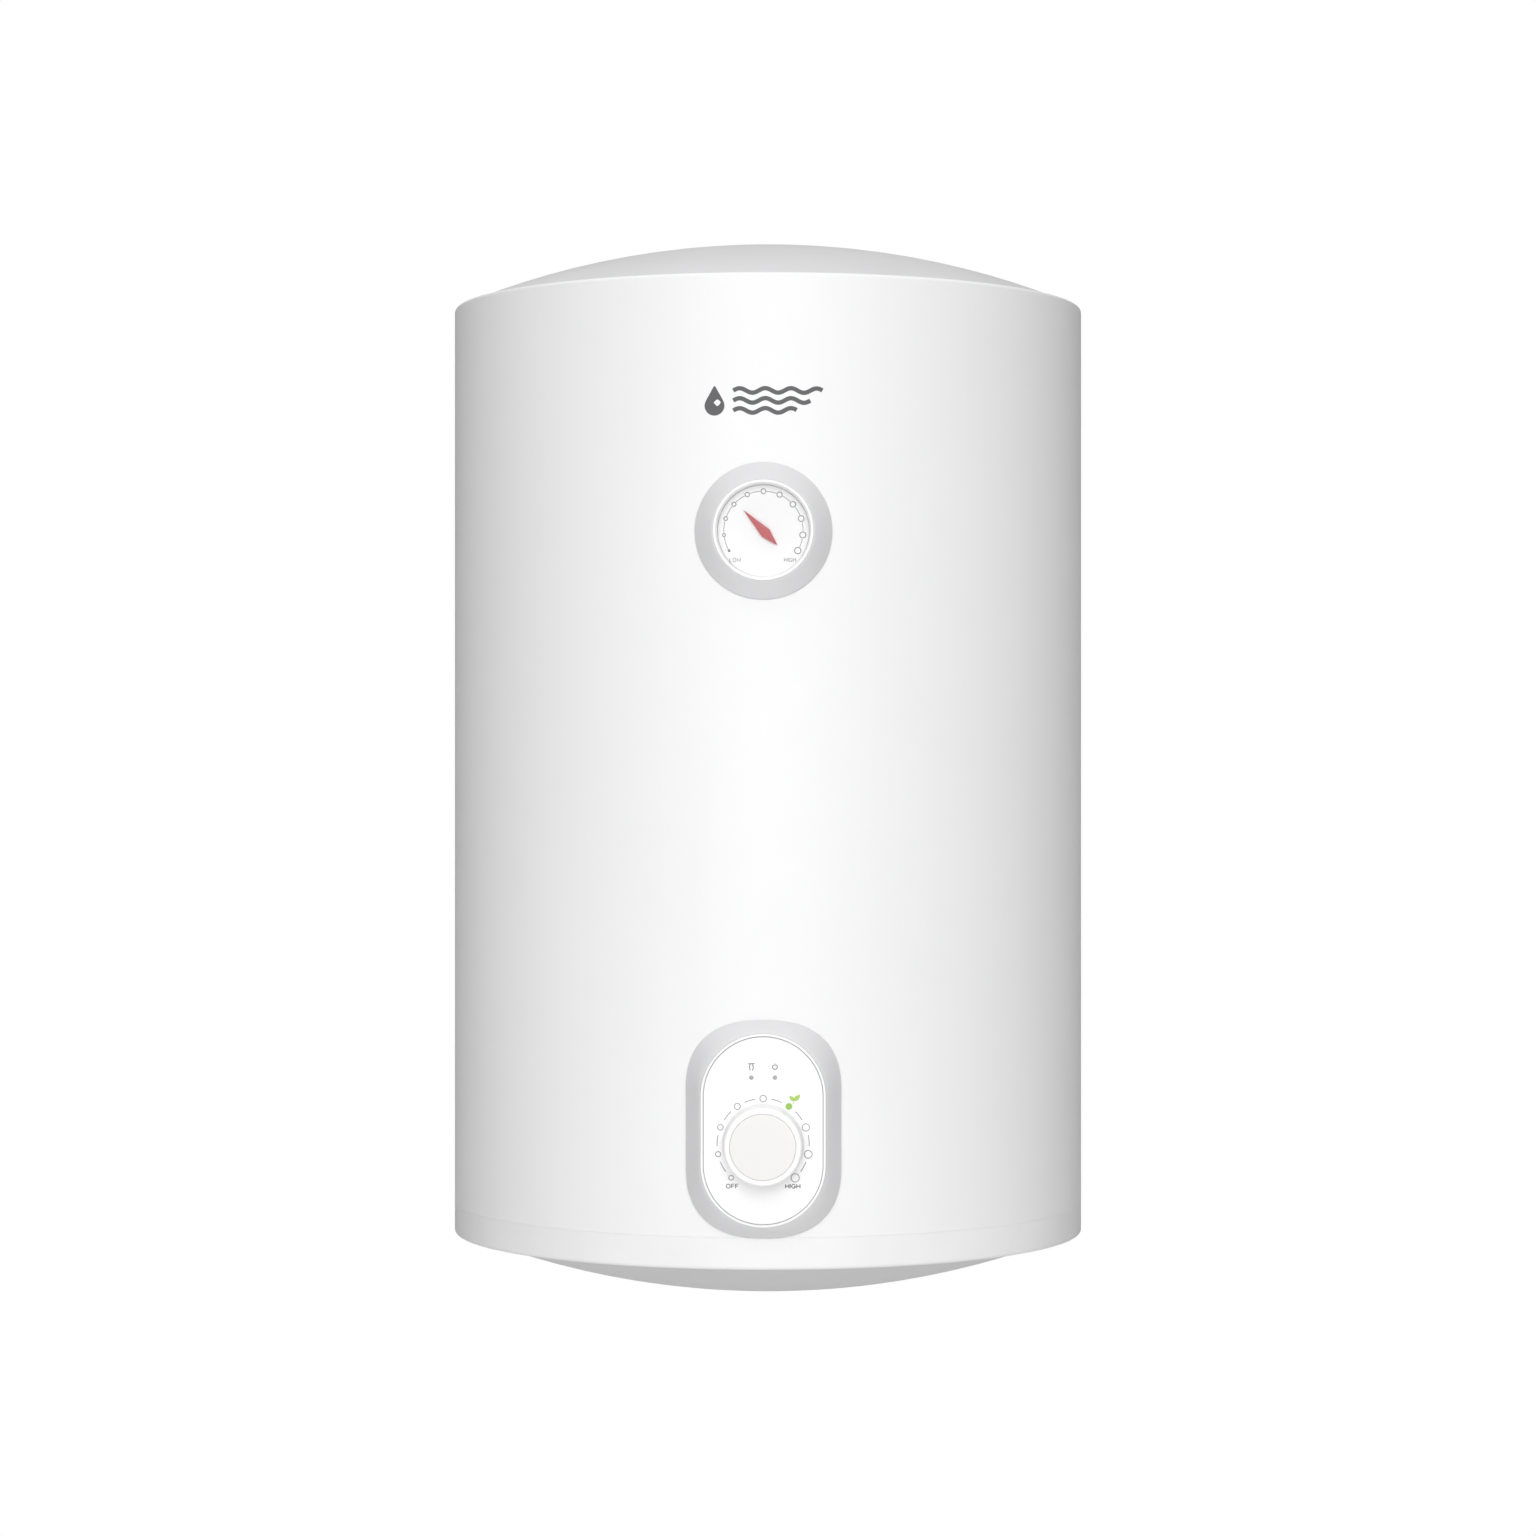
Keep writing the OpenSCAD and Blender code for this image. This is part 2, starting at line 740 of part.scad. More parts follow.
module gauge_rim() {
    color(white) at_front(gauge_z) pipe(cup_r, cup_r - rim_wall, gauge_proud - 1.8, gauge_proud + 0.5);
}

module gauge_lens() {
    color([0.9, 0.95, 1, 0.25]) at_front(gauge_z)
        rod(cup_r - rim_wall - 0.05, gauge_proud - 1.6, gauge_proud - 0.4);
}

module gauge_dial() {
    color(white) at_front(gauge_z) pipe(dial_r, bearing_small_r, -dial_t, 0);
}

module gauge_housing() {
    color(white) at_front(gauge_z) difference() {
        rod(cup_r, cup_floor, gauge_proud - 1.85);
        rod(cup_r - rim_wall - 0.2, -dial_t, gauge_proud);
        rod(spindle_small_r + 1, cup_floor - cut, 0);
    }
}

module gauge_movement() {
    color(steel) at_front(gauge_z) difference() {
        rod(movement_r, movement_back, cup_floor);
        rod(bearing_small_r, movement_back + 4, cup_floor + cut);
    }
}

module gauge_spindle() {
    color(steel) at_front(gauge_z) rod(spindle_small_r, movement_back + 5, needle_level + needle_t + 0.2);
}

module gauge_needle() {
    color(needle_red) at_front(gauge_z) rotate([0, 0, -needle_angle]) difference() {
        translate([0, 0, needle_level]) linear_extrude(needle_t) polygon([
            [0, needle_tip], [needle_half_w, -needle_widest],
            [0, -needle_tail], [-needle_half_w, -needle_widest]]);
        rod(spindle_small_r + 0.01, needle_level - cut, needle_level + needle_t + cut);
    }
}

module gauge_probe() {
    depth = -(casing_r - tank_r) + 3.6;
    color(copper) at_front(gauge_z) {
        translate([0, -movement_r - 30, depth]) rotate([90, 0, 0]) cylinder(r = 3, h = 50);
        translate([0, -movement_r - 0.1, depth]) rotate([90, 0, 0]) cylinder(r = capillary_r, h = 31);
    }
}

// ---------------------------------------------------------------- control panel

// The control bezel's outline: straight sides and ends that are flatter than a half circle.
bezel_end = 46.2;
bezel_power = 2 / 2.4;
bezel_steps = 15;
function sign_of(v) = v < 0 ? -1 : 1;
function bezel_outer(a) = [
    sign_of(cos(a)) * bezel_w / 2 * pow(abs(cos(a)), bezel_power),
    sign_of(sin(a)) * (bezel_h / 2 - bezel_end + bezel_end * pow(abs(sin(a)), bezel_power))];
fascia_gap_r = fascia_r + 0.3;
function bezel_inner(a) = [
    fascia_gap_r * cos(a), sign_of(sin(a)) * (fascia_h / 2 - fascia_r) + fascia_gap_r * sin(a)];
// The angles around the outline. Each half begins and ends just short of a side, so the straight
// stretch lies between one half's last point and the next half's first.
side_skip = 0.01;
bezel_angles = [for (half = [0, 180], k = [0 : bezel_steps])
    half + side_skip + (180 - 2 * side_skip) * k / bezel_steps];

module control_bezel() {
    land = 1.5;
    front = fascia_proud - 1;
    // share of the way in from the outer edge, and share of the rise, along the sloping face
    slope = [[0.1, 0.12], [0.35, 0.42], [0.6, 0.7], [0.82, 0.9], [0.94, 0.985]];
    n = len(bezel_angles);
    function rest(p) = gap - sag(p[0], casing_r + gap);
    // the section at one angle: its foot, the sloping face, the front edge and the inner wall
    function section(o, i, foot) = concat(
        [[o[0], o[1], foot], [o[0], o[1], foot + land]],
        [for (s = slope) let (q = o + (i - o) * s[0])
            [q[0], q[1], foot + land + (front - foot - land) * s[1]]],
        [[i[0], i[1], front], [i[0], i[1], rest(i)]]);
    points = [for (a = bezel_angles) let (o = bezel_outer(a)) each section(o, bezel_inner(a), rest(o))];
    m = len(slope) + 4;
    faces = [for (j = [0 : n - 1], k = [0 : m - 1]) let (jn = (j + 1) % n, kn = (k + 1) % m)
        [j * m + k, j * m + kn, jn * m + kn, jn * m + k]];
    color(light_grey) at_front(panel_z) polyhedron(points = points, faces = faces, convexity = 6);
}

module control_fascia() {
    rim_w = 1.8;
    skirt = -6;          // where the skirt ends, before its foot is shaped to the casing
    color(white) at_front(panel_z) difference() {
        translate([0, 0, skirt]) linear_extrude(fascia_proud - skirt) stadium(fascia_w, fascia_h);
        translate([0, 0, fascia_face]) linear_extrude(2)
            stadium(fascia_w - 2 * rim_w, fascia_h - 2 * rim_w);
        translate([0, 0, -7]) linear_extrude(fascia_back + 7) stadium(tub_w + 0.4, tub_h + 0.4);
        translate([0, -knob_drop, 0]) rod(spindle_r + 1.5, 0, 20);
        for (x = [-1, 1] * lamp_x) translate([x, lamp_y, 0]) rod(lamp_r + 0.05, 0, 20);
        // the foot follows the casing
        translate([0, 0, -casing_r]) rotate([90, 0, 0])
            cylinder(r = casing_r + gap, h = 200, center = true, $fn = 480);
    }
}

module control_housing() {
    mouth = [26, 14];
    well = [2 * well_x, well_top - well_bottom, well_front - well_floor];
    color([0.3, 0.3, 0.32]) at_front(panel_z) difference() {
        union() {
            translate([0, 0, tub_floor]) linear_extrude(tub_lip - tub_floor) stadium(tub_w, tub_h);
            translate([-well_x, well_bottom, well_floor]) cube(well);
        }
        translate([0, 0, tub_floor + tub_wall]) linear_extrude(tub_lip - tub_floor)
            stadium(tub_w - 2 * tub_wall, tub_h - 2 * tub_wall);
        translate([-well_x + tub_wall, well_bottom + tub_wall, well_floor + tub_wall])
            cube(well - 2 * tub_wall * [1, 1, 1]);
        for (x = [-1, 1] * bracket_screw_x) translate([x, -knob_drop, 0])
            rod(2, tub_floor - cut, tub_floor + tub_wall + cut);
        // the mouth that the wires and the capillary leave through
        translate([-mouth[0] / 2, well_bottom - cut, well_floor + 4])
            cube([mouth[0], tub_wall + 2 * cut, mouth[1]]);
    }
}

module thermostat_bracket() {
    color(steel) at_knob() difference() {
        slab(2 * bracket_half, 24, tub_floor + tub_wall, tub_floor + tub_wall + 1.5);
        rod(5.2, -20, 0);
        for (x = [-1, 1] * bracket_screw_x) translate([x, 0, 0]) rod(2.1, -20, 0);
    }
}

module bracket_screws() {
    head = tub_floor + tub_wall + 1.5;
    color(steel) at_front(panel_z) for (x = [-1, 1] * bracket_screw_x) translate([x, -knob_drop, head])
        mirror([0, 0, 1]) pan_screw(1.9, 3.4, 2, 3.2);
}

module thermostat_body() {
    plate = tub_floor + tub_wall;
    tab_l = 5;
    color([0.85, 0.82, 0.74]) at_knob() difference() {
        union() {
            slab(34, 34, thermostat_back, plate);
            rod(5, plate - eps, plate + 9);
            // the terminals and the capillary's outlet, on the lower face
            for (x = [-8, 0, 8]) translate([x, tab_l / 2 - tab_drop, thermostat_back + 4])
                cube([3, tab_l, 4], center = true);
        }
        rod(spindle_r + 0.06, thermostat_back + 6, plate + 20);
    }
}

// The spindle's section: a round with a flat.
module d_shaft(r) {
    difference() {
        circle(r = r);
        translate([-r - 1, r * 0.55]) square([2 * r + 2, r]);
    }
}

module thermostat_spindle() {
    color(brass) at_knob() {
        rod(spindle_r, thermostat_back + 7, knob_foot);
        rotate([0, 0, -knob_off_angle]) translate([0, 0, knob_foot - eps])
            linear_extrude(8) d_shaft(spindle_r);
    }
}

module control_knob() {
    wall = 1.8;
    under = knob_front - 3.2;
    color(white) at_knob() rotate([0, 0, -knob_off_angle]) difference() {
        union() {
            difference() {
                rotate_extrude() polygon([
                    [0, knob_foot], [knob_r, knob_foot], [knob_r, knob_foot + 1],
                    [knob_front_r + 0.2, knob_front - 1], [knob_front_r - 0.3, knob_front - 0.25],
                    [knob_front_r - 1, knob_front], [0, knob_front]]);
                rod(knob_front_r - wall, knob_foot - cut, under);
            }
            rod(6, knob_foot, under + eps);
        }
        rod(cap_disc_r, knob_front - 1.2, knob_front + cut);
        translate([0, 0, knob_foot - cut]) linear_extrude(9.5) d_shaft(spindle_r + 0.02);
        // the pointer, a short groove across the front ring
        translate([-0.5, cap_disc_r + 0.7, knob_front - 0.4]) cube([1, 2.2, 1]);
    }
}

module knob_cap() {
    color(cream) at_knob() {
        rod(cap_disc_r - 0.15, knob_front - 1.2, knob_front - 0.5);
        rod(cap_disc_r - 0.5, knob_front - 0.5 - eps, knob_front - 0.15);
    }
}

module indicator_board() {
    color("darkgreen") at_front(panel_z) translate([0, lamp_y, 0]) {
        slab(34, 16, 2, 3.6);
        for (x = [-1, 1] * 14) translate([x, 0, 0]) rod(2.5, tub_floor + tub_wall, 2 + eps);
    }
}

module lamp(side) {
    color([0.8, 0.8, 0.8]) at_front(panel_z) translate([side * lamp_x, lamp_y, 0]) {
        rod(lamp_r, 3.6, fascia_face + 0.1);
        rod(lamp_r + 0.8, 3.6, 5);
    }
}

module power_lamp() {
    lamp(1);
}

module heating_lamp() {
    lamp(-1);
}

// ---------------------------------------------------------------- service space

module terminal_block() {
    top = web_z - web_t;
    color("ivory") on_axis() translate([0, block_back, top]) difference() {
        slab(block_size[0], block_size[1], -block_size[2], 0);
        for (x = [-14, 0, 14]) translate([x, 0, 0]) {
            rod(2.6, -block_size[2] - cut, -block_size[2] + 5);
            rod(1.55, -block_size[2] - cut, -3);
            translate([0, -block_size[1] / 2 - cut, wire_level - top]) rotate([-90, 0, 0])
                cylinder(r = 1.8, h = 4);
        }
    }
}

module terminal_screws() {
    top = web_z - web_t;
    color(brass) on_axis() for (x = [-14, 0, 14])
        translate([x, block_back, top - block_size[2] + 5]) pan_screw(1.5, 2.5, 1.8, 7);
}

module safety_cutout() {
    top = web_z - web_t;
    color([0.15, 0.15, 0.16]) on_axis() translate([cutout_xy[0], cutout_xy[1], top]) difference() {
        union() {
            slab(30, 34, -cutout_h, 0);
            rod(6, -cutout_h - 4, -cutout_h + eps);
        }
        rod(button_r + 0.08, -cutout_h - 4 - cut, -cutout_h + 6);
    }
}

module cutout_reset_button() {
    top = web_z - web_t;
    color("red") on_axis() translate([cutout_xy[0], cutout_xy[1], top])
        rod(button_r, -cutout_h - 6.5, -cutout_h + 3.5);
}

module cutout_bulb() {
    color(copper) on_axis() {
        wire(cutout_route, capillary_r);
        translate([3, pocket_y, 0]) rod(2.3, -262, -180);
    }
}

module thermostat_bulb() {
    color(copper) on_axis() {
        wire(thermostat_route, capillary_r);
        translate([-2.6, pocket_y, 0]) rod(2.9, -262, -160);
    }
}

module live_wires() {
    color("saddlebrown") on_axis() for (route = live_routes) wire(route, wire_r);
}

module neutral_wires() {
    color("steelblue") on_axis() for (route = neutral_routes) wire(route, wire_r);
}

module earth_wire() {
    color("yellowgreen") on_axis() for (route = earth_routes) wire(route, wire_r);
}

module earth_screw() {
    color(brass) on_axis() translate([earth_xy[0], earth_xy[1], flange_under - 3.4])
        pan_screw(2, 4, 2.5, 6.5);
}

// ---------------------------------------------------------------- hangers

// A hanger plate: its ends lie on the wall, and its middle steps forward to the casing.
module hanger() {
    middle_front = -wall_gap + 0.4;
    translate([0, 0, -hanger_h / 2]) linear_extrude(hanger_h) polygon([
        [-hanger_half, 0], [-hanger_joggle, 0], [-hanger_flat, middle_front + hanger_t],
        [hanger_flat, middle_front + hanger_t], [hanger_joggle, 0], [hanger_half, 0],
        [hanger_half, -hanger_t], [hanger_joggle + 1, -hanger_t], [hanger_flat + 1, middle_front],
        [-hanger_flat - 1, middle_front], [-hanger_joggle - 1, -hanger_t], [-hanger_half, -hanger_t]]);
}

module hanger_at(z) {
    color(steel) translate([0, 0, z]) difference() {
        hanger();
        for (x = [-1, 1] * hanger_pitch / 2) translate([x, 0, 0]) rotate([90, 0, 0])
            cylinder(r = hanger_hole_r, h = 20, center = true);
        for (x = [-1, 1] * stud_x) translate([x, 0, 0]) rotate([90, 0, 0])
            cylinder(r = stud_r + 0.5, h = 40, center = true);
    }
}

module upper_hanger() {
    hanger_at(hanger_spacing / 2);
}

module lower_hanger() {
    hanger_at(-hanger_spacing / 2);
}

// A curved pad on the tank's back: from radius r1 to r2, half_w wide and half_h high each way.
module pad_solid(r1, r2, half_w, half_h) {
    intersection() {
        pipe(r2, r1, -half_h, half_h);
        translate([-half_w, 0, -half_h]) cube([2 * half_w, r2 + 5, 2 * half_h]);
    }
}

module hanger_pads() {
    color(steel) for (z = [-1, 1] * hanger_spacing / 2) translate([0, axis_y, z]) difference() {
        pad_solid(tank_r + 0.05, tank_r + pad_t, pad_half[0], pad_half[1]);
        for (x = [-1, 1] * stud_x) translate([x, 0, 0]) rotate([-90, 0, 0])
            cylinder(r = stud_r + 0.02, h = 300);
    }
}

module hanger_studs() {
    root_y = sqrt(pow(tank_r + 0.1, 2) - pow(stud_x - stud_r, 2)) + axis_y;
    color(steel) at_studs(root_y) cylinder(r = stud_r, h = -1 - root_y);
}

module hanger_nuts() {
    seat = -wall_gap + 0.4 + hanger_t;
    washer_t = 1.2;
    across = 13;
    color(steel) at_studs(seat) difference() {
        union() {
            cylinder(r = 7.5, h = washer_t);
            translate([0, 0, washer_t - eps]) cylinder(r = across / sqrt(3), h = 5, $fn = 6);
        }
        translate([0, 0, -cut]) cylinder(r = stud_r + 0.05, h = 10);
    }
}

// ---------------------------------------------------------------- what is drawn

outer_casing();
top_cover();
bottom_pan();
bottom_cover();
cover_screws();
insulation_foam();
inner_tank();
tank_flange_collar();
flange_gasket();
heater_flange();
flange_bolts();
heating_element();
element_terminals();
sensor_pocket();
anode_rod();
anode_nut();
cold_inlet_nipple();
hot_outlet_nipple();
inlet_diffuser();
outlet_tube();
inlet_collar();
outlet_collar();
control_bezel();
control_fascia();
control_housing();
control_knob();
knob_cap();
thermostat_spindle();
thermostat_body();
thermostat_bracket();
bracket_screws();
thermostat_bulb();
indicator_board();
power_lamp();
heating_lamp();
gauge_bezel();
gauge_rim();
gauge_lens();
gauge_dial();
gauge_needle();
gauge_spindle();
gauge_housing();
gauge_movement();
gauge_probe();
safety_cutout();
cutout_reset_button();
cutout_bulb();
terminal_block();
terminal_screws();
cable_gland();
gland_nut();
upper_hanger();
lower_hanger();
hanger_pads();
hanger_studs();
hanger_nuts();
live_wires();
neutral_wires();
earth_wire();
earth_screw();
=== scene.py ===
"""The looks of a wall-hung electric tank water heater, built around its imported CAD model. Metres, +Z up."""

import json
import math

import bmesh
import bpy
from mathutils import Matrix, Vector


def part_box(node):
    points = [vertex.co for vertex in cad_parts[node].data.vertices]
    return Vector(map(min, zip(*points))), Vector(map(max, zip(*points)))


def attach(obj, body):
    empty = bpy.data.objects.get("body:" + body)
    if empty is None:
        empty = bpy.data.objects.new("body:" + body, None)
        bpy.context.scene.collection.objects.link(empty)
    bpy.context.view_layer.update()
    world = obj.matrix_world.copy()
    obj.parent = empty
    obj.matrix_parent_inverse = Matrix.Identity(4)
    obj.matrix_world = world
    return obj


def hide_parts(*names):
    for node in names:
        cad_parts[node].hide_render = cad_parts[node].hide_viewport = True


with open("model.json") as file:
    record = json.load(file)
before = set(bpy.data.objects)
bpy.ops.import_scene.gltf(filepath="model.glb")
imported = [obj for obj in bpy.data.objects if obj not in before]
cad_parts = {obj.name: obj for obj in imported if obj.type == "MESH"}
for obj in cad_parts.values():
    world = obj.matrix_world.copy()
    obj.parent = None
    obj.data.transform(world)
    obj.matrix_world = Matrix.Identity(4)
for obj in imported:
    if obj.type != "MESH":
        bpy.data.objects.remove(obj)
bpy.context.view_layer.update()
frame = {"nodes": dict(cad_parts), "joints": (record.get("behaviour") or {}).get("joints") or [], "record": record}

MM = 0.001
TAU = 2 * math.pi
SKIN = 0.05 * MM      # how far printed marks stand out from what they are printed on
ROUND = 192           # points in each large ring

# ------------------------------------------------------------------ places, from the frame

JOINTS = {j["name"]: j for j in frame["joints"]}
case_lo, case_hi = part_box("outer_casing")
case_r = (case_hi.y - case_lo.y) / 2
axis_y = (case_hi.y + case_lo.y) / 2
front_y = case_lo.y
gauge_z = JOINTS["needle_turn"]["pos_m"][2]
knob_z = JOINTS["knob_turn"]["pos_m"][2]
bezel_lo, bezel_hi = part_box("control_bezel")
fascia_lo, fascia_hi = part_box("control_fascia")
knob_lo, knob_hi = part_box("control_knob")
panel_z = (bezel_lo.z + bezel_hi.z) / 2
body_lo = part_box("bottom_pan")[0].z
body_hi = case_hi.z
body_mid = (body_lo + body_hi) / 2


def sag(x):
    """How far the casing has fallen back from its foremost line at a distance x across."""
    return case_r - math.sqrt(case_r * case_r - x * x)


def at_front(u, v, w, z):
    """A point u across, v up from height z, and w outwards from the casing's foremost line."""
    return Vector((u, front_y - w, z + v))


# ------------------------------------------------------------------ mesh helpers


def smooth_shade(mesh, angle=35):
    for polygon in mesh.polygons:
        polygon.use_smooth = True
    mesh.set_sharp_from_angle(angle=math.radians(angle))


def add_piece(name, verts, faces, body, material, slot=None, stands_for=(), angle=35):
    """A mesh that rides on a CAD body."""
    mesh = bpy.data.meshes.new(name)
    mesh.from_pydata([tuple(v) for v in verts], [], faces)
    bm = bmesh.new()
    bm.from_mesh(mesh)
    bmesh.ops.recalc_face_normals(bm, faces=bm.faces)
    bm.to_mesh(mesh)
    bm.free()
    smooth_shade(mesh, angle)
    piece = bpy.data.objects.new(name, mesh)
    bpy.context.scene.collection.objects.link(piece)
    mesh.materials.append(material)
    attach(piece, body)
    if stands_for:
        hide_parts(*stands_for)
    return piece


def joined(parts):
    """One (verts, faces) pair from several."""
    verts, faces = [], []
    for part_verts, part_faces in parts:
        start = len(verts)
        verts += part_verts
        faces += [tuple(i + start for i in f) for f in part_faces]
    return verts, faces


def loft(rings, closed_section=False, caps=(False, False)):
    """Skins a list of closed rings, each with the same number of points."""
    n = len(rings[0])
    verts = [p for ring in rings for p in ring]
    faces = []
    last = len(rings) if closed_section else len(rings) - 1
    for i in range(last):
        a, b = i * n, (i + 1) % len(rings) * n
        for k in range(n):
            m = (k + 1) % n
            faces.append((a + k, a + m, b + m, b + k))
    if caps[0]:
        faces.append(tuple(range(n)))
    if caps[1]:
        faces.append(tuple(range((len(rings) - 1) * n, len(rings) * n)))
    return verts, faces


def circle(r, n):
    """Points of a circle, clockwise from straight up, as (across, up)."""
    return [(r * math.sin(TAU * k / n), r * math.cos(TAU * k / n)) for k in range(n)]


def rounded(corner, before, after, r, steps=4):
    """An arc of about radius r in place of a corner of a profile, as points."""
    corner, before, after = Vector(corner), Vector(before), Vector(after)
    a, b = (before - corner).normalized(), (after - corner).normalized()
    half = a.angle(b) / 2
    reach = r / math.tan(half)
    start, end = corner + a * reach, corner + b * reach
    centre = corner + (a + b).normalized() * (r / math.sin(half))
    arm, far = start - centre, end - centre
    turn = arm.angle(far)
    return [tuple(centre + (arm * math.sin(turn * (1 - t)) + far * math.sin(turn * t)) / math.sin(turn))
            for t in (k / steps for k in range(steps + 1))]


def soften(profile, radii, steps=4):
    """A profile with some corners rounded: radii maps a corner's index to its radius."""
    points = []
    for i, corner in enumerate(profile):
        if i in radii:
            points += rounded(corner, profile[i - 1], profile[(i + 1) % len(profile)], radii[i], steps)
        else:
            points.append(corner)
    return points


def revolve_front(profile, z, n=ROUND, closed_section=False):
    """Revolves (radius, outwards) points about the line through height z on the casing's front."""
    on_axis = 1e-6
    rings = [[at_front(u, v, w, z) for u, v in circle(max(r, on_axis), n)] for r, w in profile]
    return loft(rings, closed_section)


def prism(outline, place, depth):
    """A flat shape with thickness: outline is a list of (u, v), and place maps (u, v, w)."""
    bm = bmesh.new()
    verts = [bm.verts.new((u, v, 0)) for u, v in outline]
    edges = [bm.edges.new((verts[i], verts[(i + 1) % len(verts)])) for i in range(len(verts))]
    bmesh.ops.triangle_fill(bm, use_beauty=True, use_dissolve=False, edges=edges)
    made = bmesh.ops.extrude_face_region(bm, geom=bm.faces[:])
    for v in made["geom"]:
        if isinstance(v, bmesh.types.BMVert):
            v.co.z = depth
    bm.verts.index_update()
    verts = [place(v.co.x, v.co.y, v.co.z) for v in bm.verts]
    faces = [tuple(v.index for v in f.verts) for f in bm.faces]
    bm.free()
    return verts, faces


def stroke(path, width, place, depth, closed=False):
    """A printed line of even width along (u, v) points."""
    left, right = [], []
    n = len(path)
    for i, p in enumerate(path):
        a = Vector(path[i - 1] if closed or i else p)
        b = Vector(path[(i + 1) % n] if closed or i < n - 1 else p)
        along = (b - a).normalized()
        side = Vector((-along.y, along.x))
        # a mitre keeps the width even round a corner
        here = Vector(p)
        into = (here - a).normalized() if (here - a).length else along
        stretch = 1 / max(0.5, abs(Vector((-into.y, into.x)).dot(side)))
        left.append(here + side * width / 2 * stretch)
        right.append(here - side * width / 2 * stretch)
    verts, faces = [], []
    for a, b in zip(left, right):
        verts += [place(a.x, a.y, 0), place(b.x, b.y, 0)]
        verts += [place(b.x, b.y, depth), place(a.x, a.y, depth)]
    for i in range(n if closed else n - 1):
        j = (i + 1) % n
        for k in range(4):
            m = (k + 1) % 4
            faces.append((4 * i + k, 4 * j + k, 4 * j + m, 4 * i + m))
    if not closed:
        faces += [(0, 1, 2, 3), (4 * n - 4, 4 * n - 1, 4 * n - 2, 4 * n - 3)]
    return verts, faces


def arc(centre, r, start, end, steps=24):
    """Points of an arc, its angles in degrees clockwise from straight up."""
    return [(centre[0] + r * math.sin(math.radians(start + (end - start) * k / steps)),
             centre[1] + r * math.cos(math.radians(start + (end - start) * k / steps)))
            for k in range(steps + 1)]


def ring_stroke(centre, r, width, place, depth, steps=32):
    return stroke(arc(centre, r, 0, 360, steps)[:-1], width, place, depth, closed=True)


def disc(centre, r, place, depth, steps=32):
    return prism(arc(centre, r, 0, 360, steps)[:-1], place, depth)


# ------------------------------------------------------------------ lettering

def letter_curve(half_w, start, end, step):
    """An arc of an oval 1 high, its angles in degrees clockwise from straight up."""
    return [(half_w + half_w * math.sin(math.radians(a)), 0.5 + 0.5 * math.cos(math.radians(a)))
            for a in range(start, end, step)]


# Single-stroke letters on a grid 1 high, as (width, list of paths).
LETTERS = {
    "L": (0.5, [[(0, 1), (0, 0), (0.5, 0)]]),
    "H": (0.62, [[(0, 0), (0, 1)], [(0.62, 0), (0.62, 1)], [(0, 0.5), (0.62, 0.5)]]),
    "I": (0.0, [[(0, 0), (0, 1)]]),
    "F": (0.5, [[(0, 0), (0, 1), (0.5, 1)], [(0, 0.52), (0.42, 0.52)]]),
    "W": (0.9, [[(0, 1), (0.24, 0), (0.45, 0.8), (0.66, 0), (0.9, 1)]]),
    "O": (0.72, [letter_curve(0.36, 0, 361, 15)]),
    "G": (0.68, [letter_curve(0.36, 50, -231, -14) + [(0.68, 0.42), (0.42, 0.42)]]),
}


def word(text, centre, height, weight, place, depth, stretch=1.0):
    """A word in single-stroke capitals, centred on a point."""
    space = 0.26
    total = sum(LETTERS[c][0] for c in text) + space * (len(text) - 1)
    em = height * stretch
    u = centre[0] - total * em / 2
    parts = []
    for c in text:
        width, paths = LETTERS[c]
        for path in paths:
            points = [(u + x * em, centre[1] + (y - 0.5) * height) for x, y in path]
            parts.append(stroke(points, weight, place, depth))
        u += (width + space) * em
    return parts


# ------------------------------------------------------------------ materials


